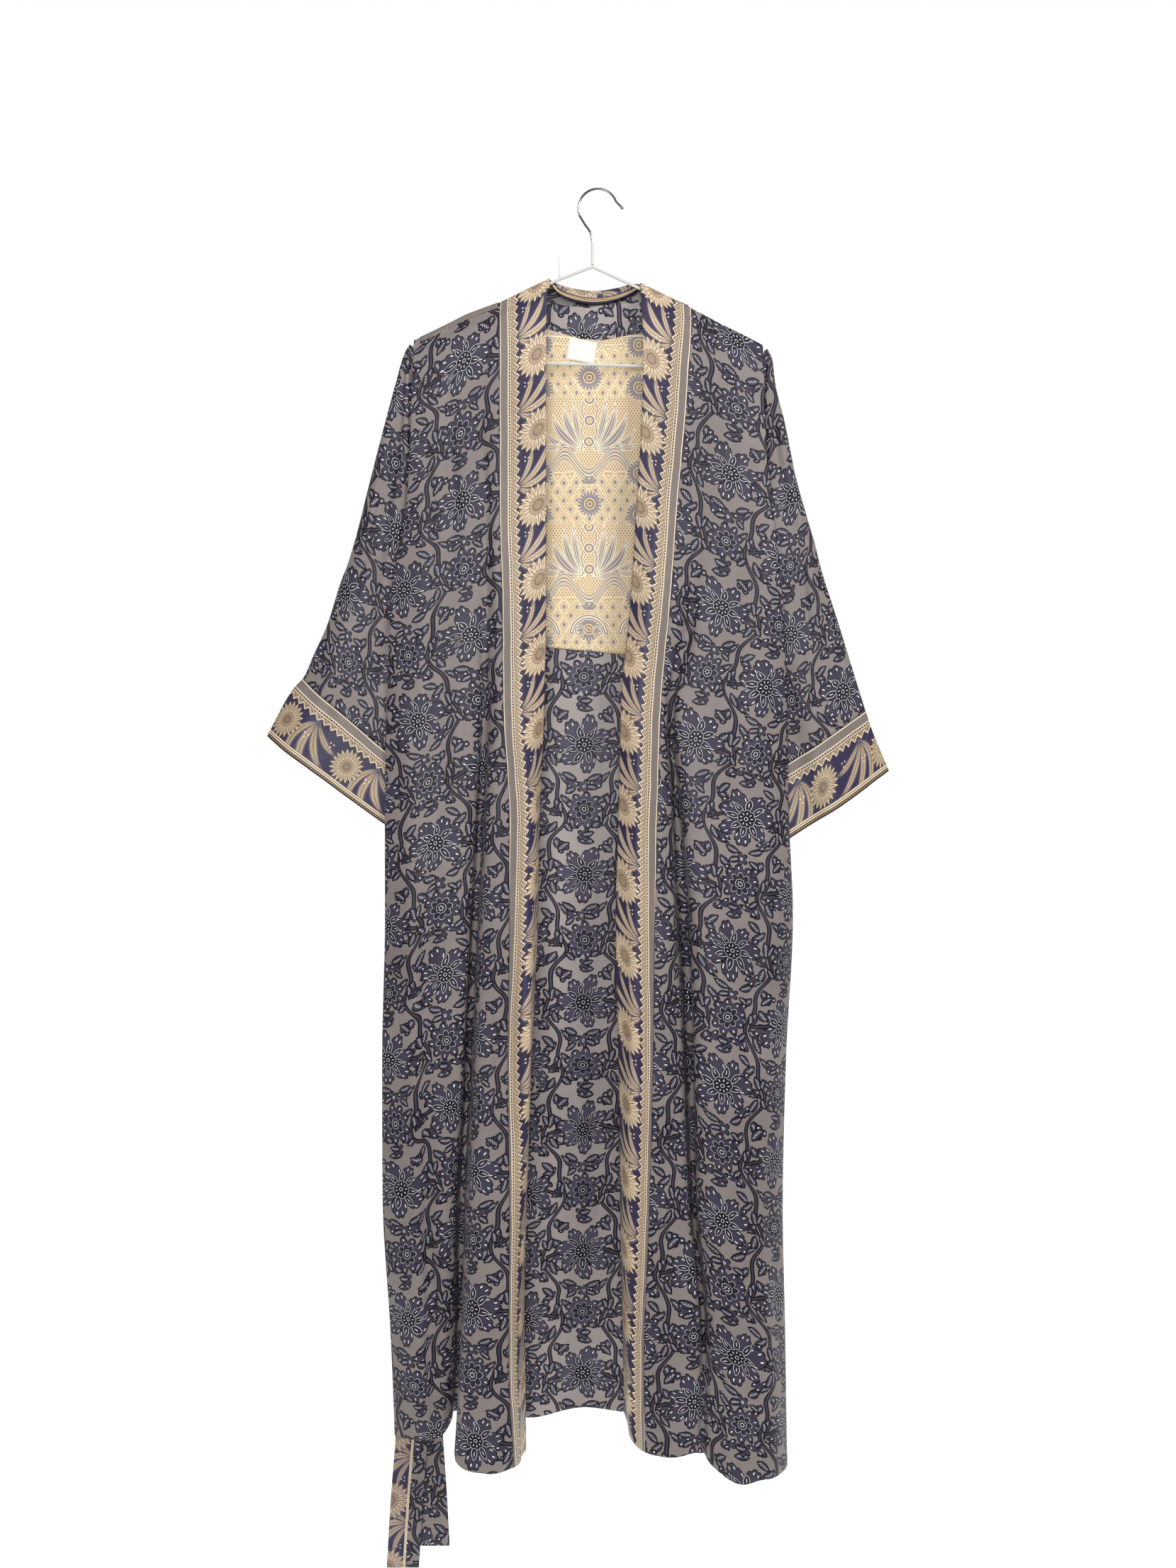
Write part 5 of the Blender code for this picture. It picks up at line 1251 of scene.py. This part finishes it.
beltShape = dict(
    width=40.0, thickness=1.4, between=14, columns=25, tail=200, curl=0.35, curlLength=61, curlSlant=1.3,
    calmTail=0.6, curlShare=0.8,
    path=(
        (-242.0, 4.0, -1670.0),
        (-236.0, 4.0, -1580.0),
        (-228.0, 4.2, -1480.0),
        (-222.0, 4.4, -1300.0),
        (-216.0, 4.6, -1050.0),
        (-212.0, 5.0, -850.0),
        (-211.0, 8.0, -760.0),
        (-211.0, 13.0, -700.0),
        (-211.0, 17.4, -640.0),
        (-211.0, 18.6, -556.0),
        (-211.0, 19.6, -552.2),
        (-211.0, 22.0, -550.4),
        (-211.0, 24.4, -552.2),
        (-211.0, 25.4, -556.0),
        (-210.6, 23.4, -640.0),
        (-210.4, 18.0, -700.0),
        (-210.4, 12.2, -760.0),
        (-210.4, 8.6, -850.0),
        (-211.0, 8.2, -1050.0),
        (-212.0, 8.2, -1300.0),
        (-212.0, 8.4, -1480.0),
        (-207.0, 8.6, -1580.0),
        (-204.0, 8.6, -1645.0),
    ),
    ring=(
        (-186.0, 6.0, -547.0),
        (-186.0, 16.0, -545.0),
        (-189.5, 21.6, -544.4),
        (-212.0, 22.0, -544.6),
        (-232.0, 22.0, -546.0),
        (-237.0, 22.0, -549.8),
        (-232.0, 22.0, -553.6),
        (-212.0, 22.0, -554.6),
        (-189.5, 21.6, -554.4),
        (-186.0, 16.0, -553.0),
        (-186.0, 6.0, -551.0),
    ),
    cordRadius=1.1, cordBetween=10,
)


def smoothPath(points, between):
    # A path rounded through its points, with as many steps between each two.
    return across(np.array([points], float), (between,) * (len(points) - 1))[0]


def belt(surface):
    # A strip hung doubled over its cord loop: path + side·width/2, and between its edges a ripple
    # of curl·sin(length/curlLength + slant·side), calmer towards both ends.
    shape = beltShape
    path = smoothPath(shape["path"], shape["between"])
    length = walked(path[None], 1)[0]
    side = np.linspace(-1, 1, shape["columns"])[None, :]
    grid = path[:, None] + side[..., None] * np.array([shape["width"] / 2, 0, 0])
    out = turned(normals(grid), (0, -1, 0))
    tail = smoothStep(0, shape["tail"], np.minimum(length, length[-1] - length))
    ripple = np.sin(length[:, None] / shape["curlLength"] + shape["curlSlant"] * side)
    curl = shape["curl"] * ripple * (1 - shape["calmTail"] * tail[:, None])
    grid[..., 1] += curl * (1 - side ** 2) * shape["curlShare"]
    made = cloth("hangingBelt", grid, plane((side + 1) * shape["width"] / 2, length[:, None]),
                 shape["thickness"], surface, out)
    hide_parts("belt")
    return made


def beltLoop(surface):
    # A cord from the side seam round both layers of the belt and back.
    path = smoothPath(beltShape["ring"], beltShape["cordBetween"])
    made = rope("beltLoop", path, beltShape["cordRadius"], surface)
    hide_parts("belt_loop")
    return made


# the neck band and the belt are cut from the border and the flower print at these places
neckInk = dict(borderInk, out=26.0, down=34.0, shade=0.25, edge=7.0, crest=21.0)
beltInk = dict(flowerInk, middle=21.5, turnedAt=1110.0, start=45.0, shade=0.35)
tapeInk = dict(ground=linear("f6f3ea"), thread=linear("e9e4d8"), stitch=linear("b9b1a0"), count=9.0,
               edge=(15.4, 10.9), dash=(1.1, -0.35))
cordInk = dict(strands=2.4, turns=1400.0)


def neckPrint(vector, s, v, ink):
    # Cut from the border, with a narrow scalloped lace along the edge of its inner leg.
    colour = borderPrint(vector, s + ink["out"], v + ink["down"], ink).tinted(ink["navy"], ink["shade"])
    colour = drawn(colour, s - ink["edge"], [(0.0, ink["navy"])])
    lace = 2.2 - s + abs(v.wrapped(1.5)) * 0.9
    colour = drawn(colour, lace.most(s - 4.2), [(-0.5, ink["gold"]), (0.0, ink["tan"])])
    return colour.tinted(bloomPrint(vector, v, s, flowerInk), s.above(ink["crest"]))


def beltPrint(vector, s, v, ink):
    # Half of it is cut from the border, the other half from the flower print.
    middle, turnedAt, inks = ink["middle"], ink["turnedAt"], borderInk
    edged = borderPrint(vector, ink["start"] - s, v, inks).tinted(inks["navy"], ink["shade"])
    colour = edged.tinted(bloomPrint(vector, s, v, ink), s.above(middle).most(v.above(turnedAt)))
    return drawn(colour, (abs(s - middle) - 1.4).most(v - turnedAt),
                 [(-0.9, inks["gold"]), (-0.6, inks["brown"]), (0.0, inks["pale"])])


def tapeCloth():
    # Cream woven tape: sin·sin threads, with a line of stitches inside its edges.
    made, shader, vector, u, v = starter("label tape")
    thread = (u.scaled(tapeInk["count"])).wave() * (v.scaled(tapeInk["count"])).wave()
    colour = plain(u.tree, tapeInk["ground"]).tinted(tapeInk["thread"], thread.scaled(0.5, 0.5))
    edge = (abs(u) - tapeInk["edge"][0]).most(abs(v) - tapeInk["edge"][1])
    dash = (u + v).wrapped(tapeInk["dash"][0]).above(tapeInk["dash"][1])
    colour = colour.tinted(tapeInk["stitch"], edge.near(0.0, 0.3) * dash)
    return finished(made, shader, vector, colour, **finishes["tape"])


def cordCloth(name, light, dark):
    # A twisted cord: strands of two tones, as a wave along its length and round it.
    made, shader, vector, u, v = starter(name)
    place = vector.node("TexCoord", {}, {}, 3)
    split = place.node("SeparateXYZ", {}, {0: place})
    strand = (v.scaled(cordInk["strands"]) + (split + split.other(2)).scaled(cordInk["turns"])).wave()
    colour = plain(u.tree, light).tinted(dark, strand.scaled(0.35, 0.4))
    return finished(made, shader, vector, colour, **finishes["cord"])


wire = dict(
    smudges=60.0, uneven=0.2, darker=0.86, share=0.7, grain=900.0, strength=0.08, relief=0.0003,
    kinds=(
        ("white coating", linear("d8d8d4"), 0.38, {"Metallic": 0.0, "Coat Weight": 0.3},
         ("hanger_frame", "hanger_neck", "hanger_notch")),
        ("bright wire", linear("77787c"), 0.24, {"Metallic": 1.0, "Coat Weight": 0.0}, ("hanger_hook",)),
    ),
)


def wireFinish(name, colour, rough, constants):
    # Drawn wire: smudges in its gloss and a trace of them in its colour.
    made = bpy.data.materials.new(name)
    made.use_nodes = True
    tree = made.node_tree
    place = Val(tree, tree.nodes.new("ShaderNodeTexCoord").outputs["Object"])
    smudge = noise(place, wire["smudges"], 3.0, False)
    darker = tuple(c * wire["darker"] for c in colour[:3]) + (1.0,)
    tone = plain(tree, colour).tinted(darker, smudge.scaled(wire["share"]))
    roughness = smudge * wire["uneven"] + (rough - wire["uneven"] / 2)
    grain = noise(place, wire["grain"], 2.0, False)
    bump = grain.node("Bump", {}, {"Strength": wire["strength"], "Distance": wire["relief"],
                                   "Height": grain})
    links = {"Base Color": tone, "Roughness": roughness, "Normal": bump}
    joined(made, tree.nodes["Principled BSDF"], links, constants)
    return made


labelTape = tapeCloth()
pipeCloth = cordCloth("gold piping", linear("dcc394"), linear("a5875a"))
loopCord = cordCloth("dark cord", linear("4a4558"), linear("2b2737"))
neckCloth = printedCloth("neck border", neckPrint, neckInk, "border", (0.0, 12.0))
beltCloth = printedCloth("belt print", beltPrint, beltInk, "belt")

neck, neckGrid = neckBand(neckCloth)
inner, label = innerPanel(goldCloth)
beltMade = belt(beltCloth)
beltLoop(loopCord)


def piping():
    # Two cords side by side on the neck band's inner leg: foot + share·(crest - foot), a little ahead.
    rows = slice(neckShape["pipeEnd"], -neckShape["pipeEnd"])
    foot, crest = neckGrid[rows, 0], neckGrid[rows, neckShape["pipeColumn"]]
    ahead = np.array([0, -neckShape["pipeAhead"], 0.0])
    for name, share in neckShape["pipes"]:
        path = foot + (crest - foot) * share + ahead
        rope(name, path, neckShape["pipeRadius"], pipeCloth)


piping()
print("neck, inner panel, label, belt and piping ready")

for name, colour, rough, constants, nodes in wire["kinds"]:
    surface = wireFinish(name, colour, rough, constants)
    for node in nodes:
        for slot in bpy.data.objects[node].material_slots:
            slot.material = surface

studio = dict(
    cameraPlace=(-0.0111, -1.4066, -0.6104), pitch=3.3, lens=27.05, sensor=36.0,
    floor=-1.86, wall=5.5, bend=2.6, near=-0.6, halfWidth=11.0, wallTop=9.0,
    lights=(  # name, place, size and power
        ("key", (1.5, -1.5, 0.7), 1.0, 36),
        ("front", (-0.4, -2.8, -0.2), 1.6, 57),
        ("fill", (-1.8, -1.5, 0.8), 1.0, 9),
    ),
    aim=(0.0, 0.0, -0.5), world=0.17, sky=linear("f2f3f5"), bendSteps=24,
    wallGlow=0.92, wallLight=linear("fdfdfb"), wallColour=linear("8c8c8a"), wallRough=0.9,
)


def backdrop():
    # Floor and wall as one sheet: flat, then a quarter circle of the bend's radius, then upright.
    bend, floor, wall = studio["bend"], studio["floor"], studio["wall"]
    turn = np.linspace(0, np.pi / 2, studio["bendSteps"])
    y = np.concatenate([[studio["near"]], wall - bend + bend * np.sin(turn), [wall]])
    z = np.concatenate([[floor], floor + bend - bend * np.cos(turn), [studio["wallTop"]]])
    x = np.array([-1.0, 1.0]) * studio["halfWidth"]
    points = np.stack(np.broadcast_arrays(x[None, :], y[:, None], z[:, None]), axis=2).reshape(-1, 3)
    index = np.arange(len(points)).reshape(len(y), 2)
    quads = np.stack([index[:-1, 0], index[:-1, 1], index[1:, 1], index[1:, 0]], axis=1)
    mesh = bpy.data.meshes.new("backdrop")
    mesh.from_pydata(points.tolist(), [], quads.tolist())
    mesh.shade_smooth()
    surface = bpy.data.materials.new("pale paper")
    surface.use_nodes = True
    joined(surface, surface.node_tree.nodes["Principled BSDF"], {},
           {"Base Color": studio["wallColour"], "Roughness": studio["wallRough"],
            "Emission Color": studio["wallLight"], "Emission Strength": studio["wallGlow"]})
    mesh.materials.append(surface)
    made = bpy.data.objects.new("backdrop", mesh)
    bpy.context.scene.collection.objects.link(made)


def lightUp():
    # Wide soft lamps in front, each turned to the middle of the robe: tilted by acos(-z/length) and
    # turned by atan2(y, x) - 90 degrees. The sky is even and weak.
    for name, place, size, power in studio["lights"]:
        lamp = bpy.data.lights.new(name, "AREA")
        lamp.size = size
        lamp.energy = power
        made = bpy.data.objects.new(name, lamp)
        made.location = place
        toAim = [a - b for a, b in zip(studio["aim"], place)]
        tilt = math.acos(-toAim[2] / math.hypot(*toAim))
        made.rotation_euler = (tilt, 0, math.atan2(toAim[1], toAim[0]) - math.pi / 2)
        bpy.context.scene.collection.objects.link(made)
    world = bpy.data.worlds.new("studio")
    world.use_nodes = True
    world.node_tree.nodes["Background"].inputs[0].default_value = studio["sky"]
    world.node_tree.nodes["Background"].inputs[1].default_value = studio["world"]
    bpy.context.scene.world = world
    bpy.context.scene.view_settings.view_transform = "Standard"


def camera():
    # The phone's place and lens, level but for its pitch.
    lens = bpy.data.cameras.new("camera")
    lens.sensor_width = studio["sensor"]
    lens.lens = studio["lens"]
    made = bpy.data.objects.new("camera", lens)
    made.location = studio["cameraPlace"]
    made.rotation_euler = (math.radians(90 - studio["pitch"]), 0, 0)
    bpy.context.scene.collection.objects.link(made)
    bpy.context.scene.camera = made


backdrop()
lightUp()
camera()
print("studio ready")
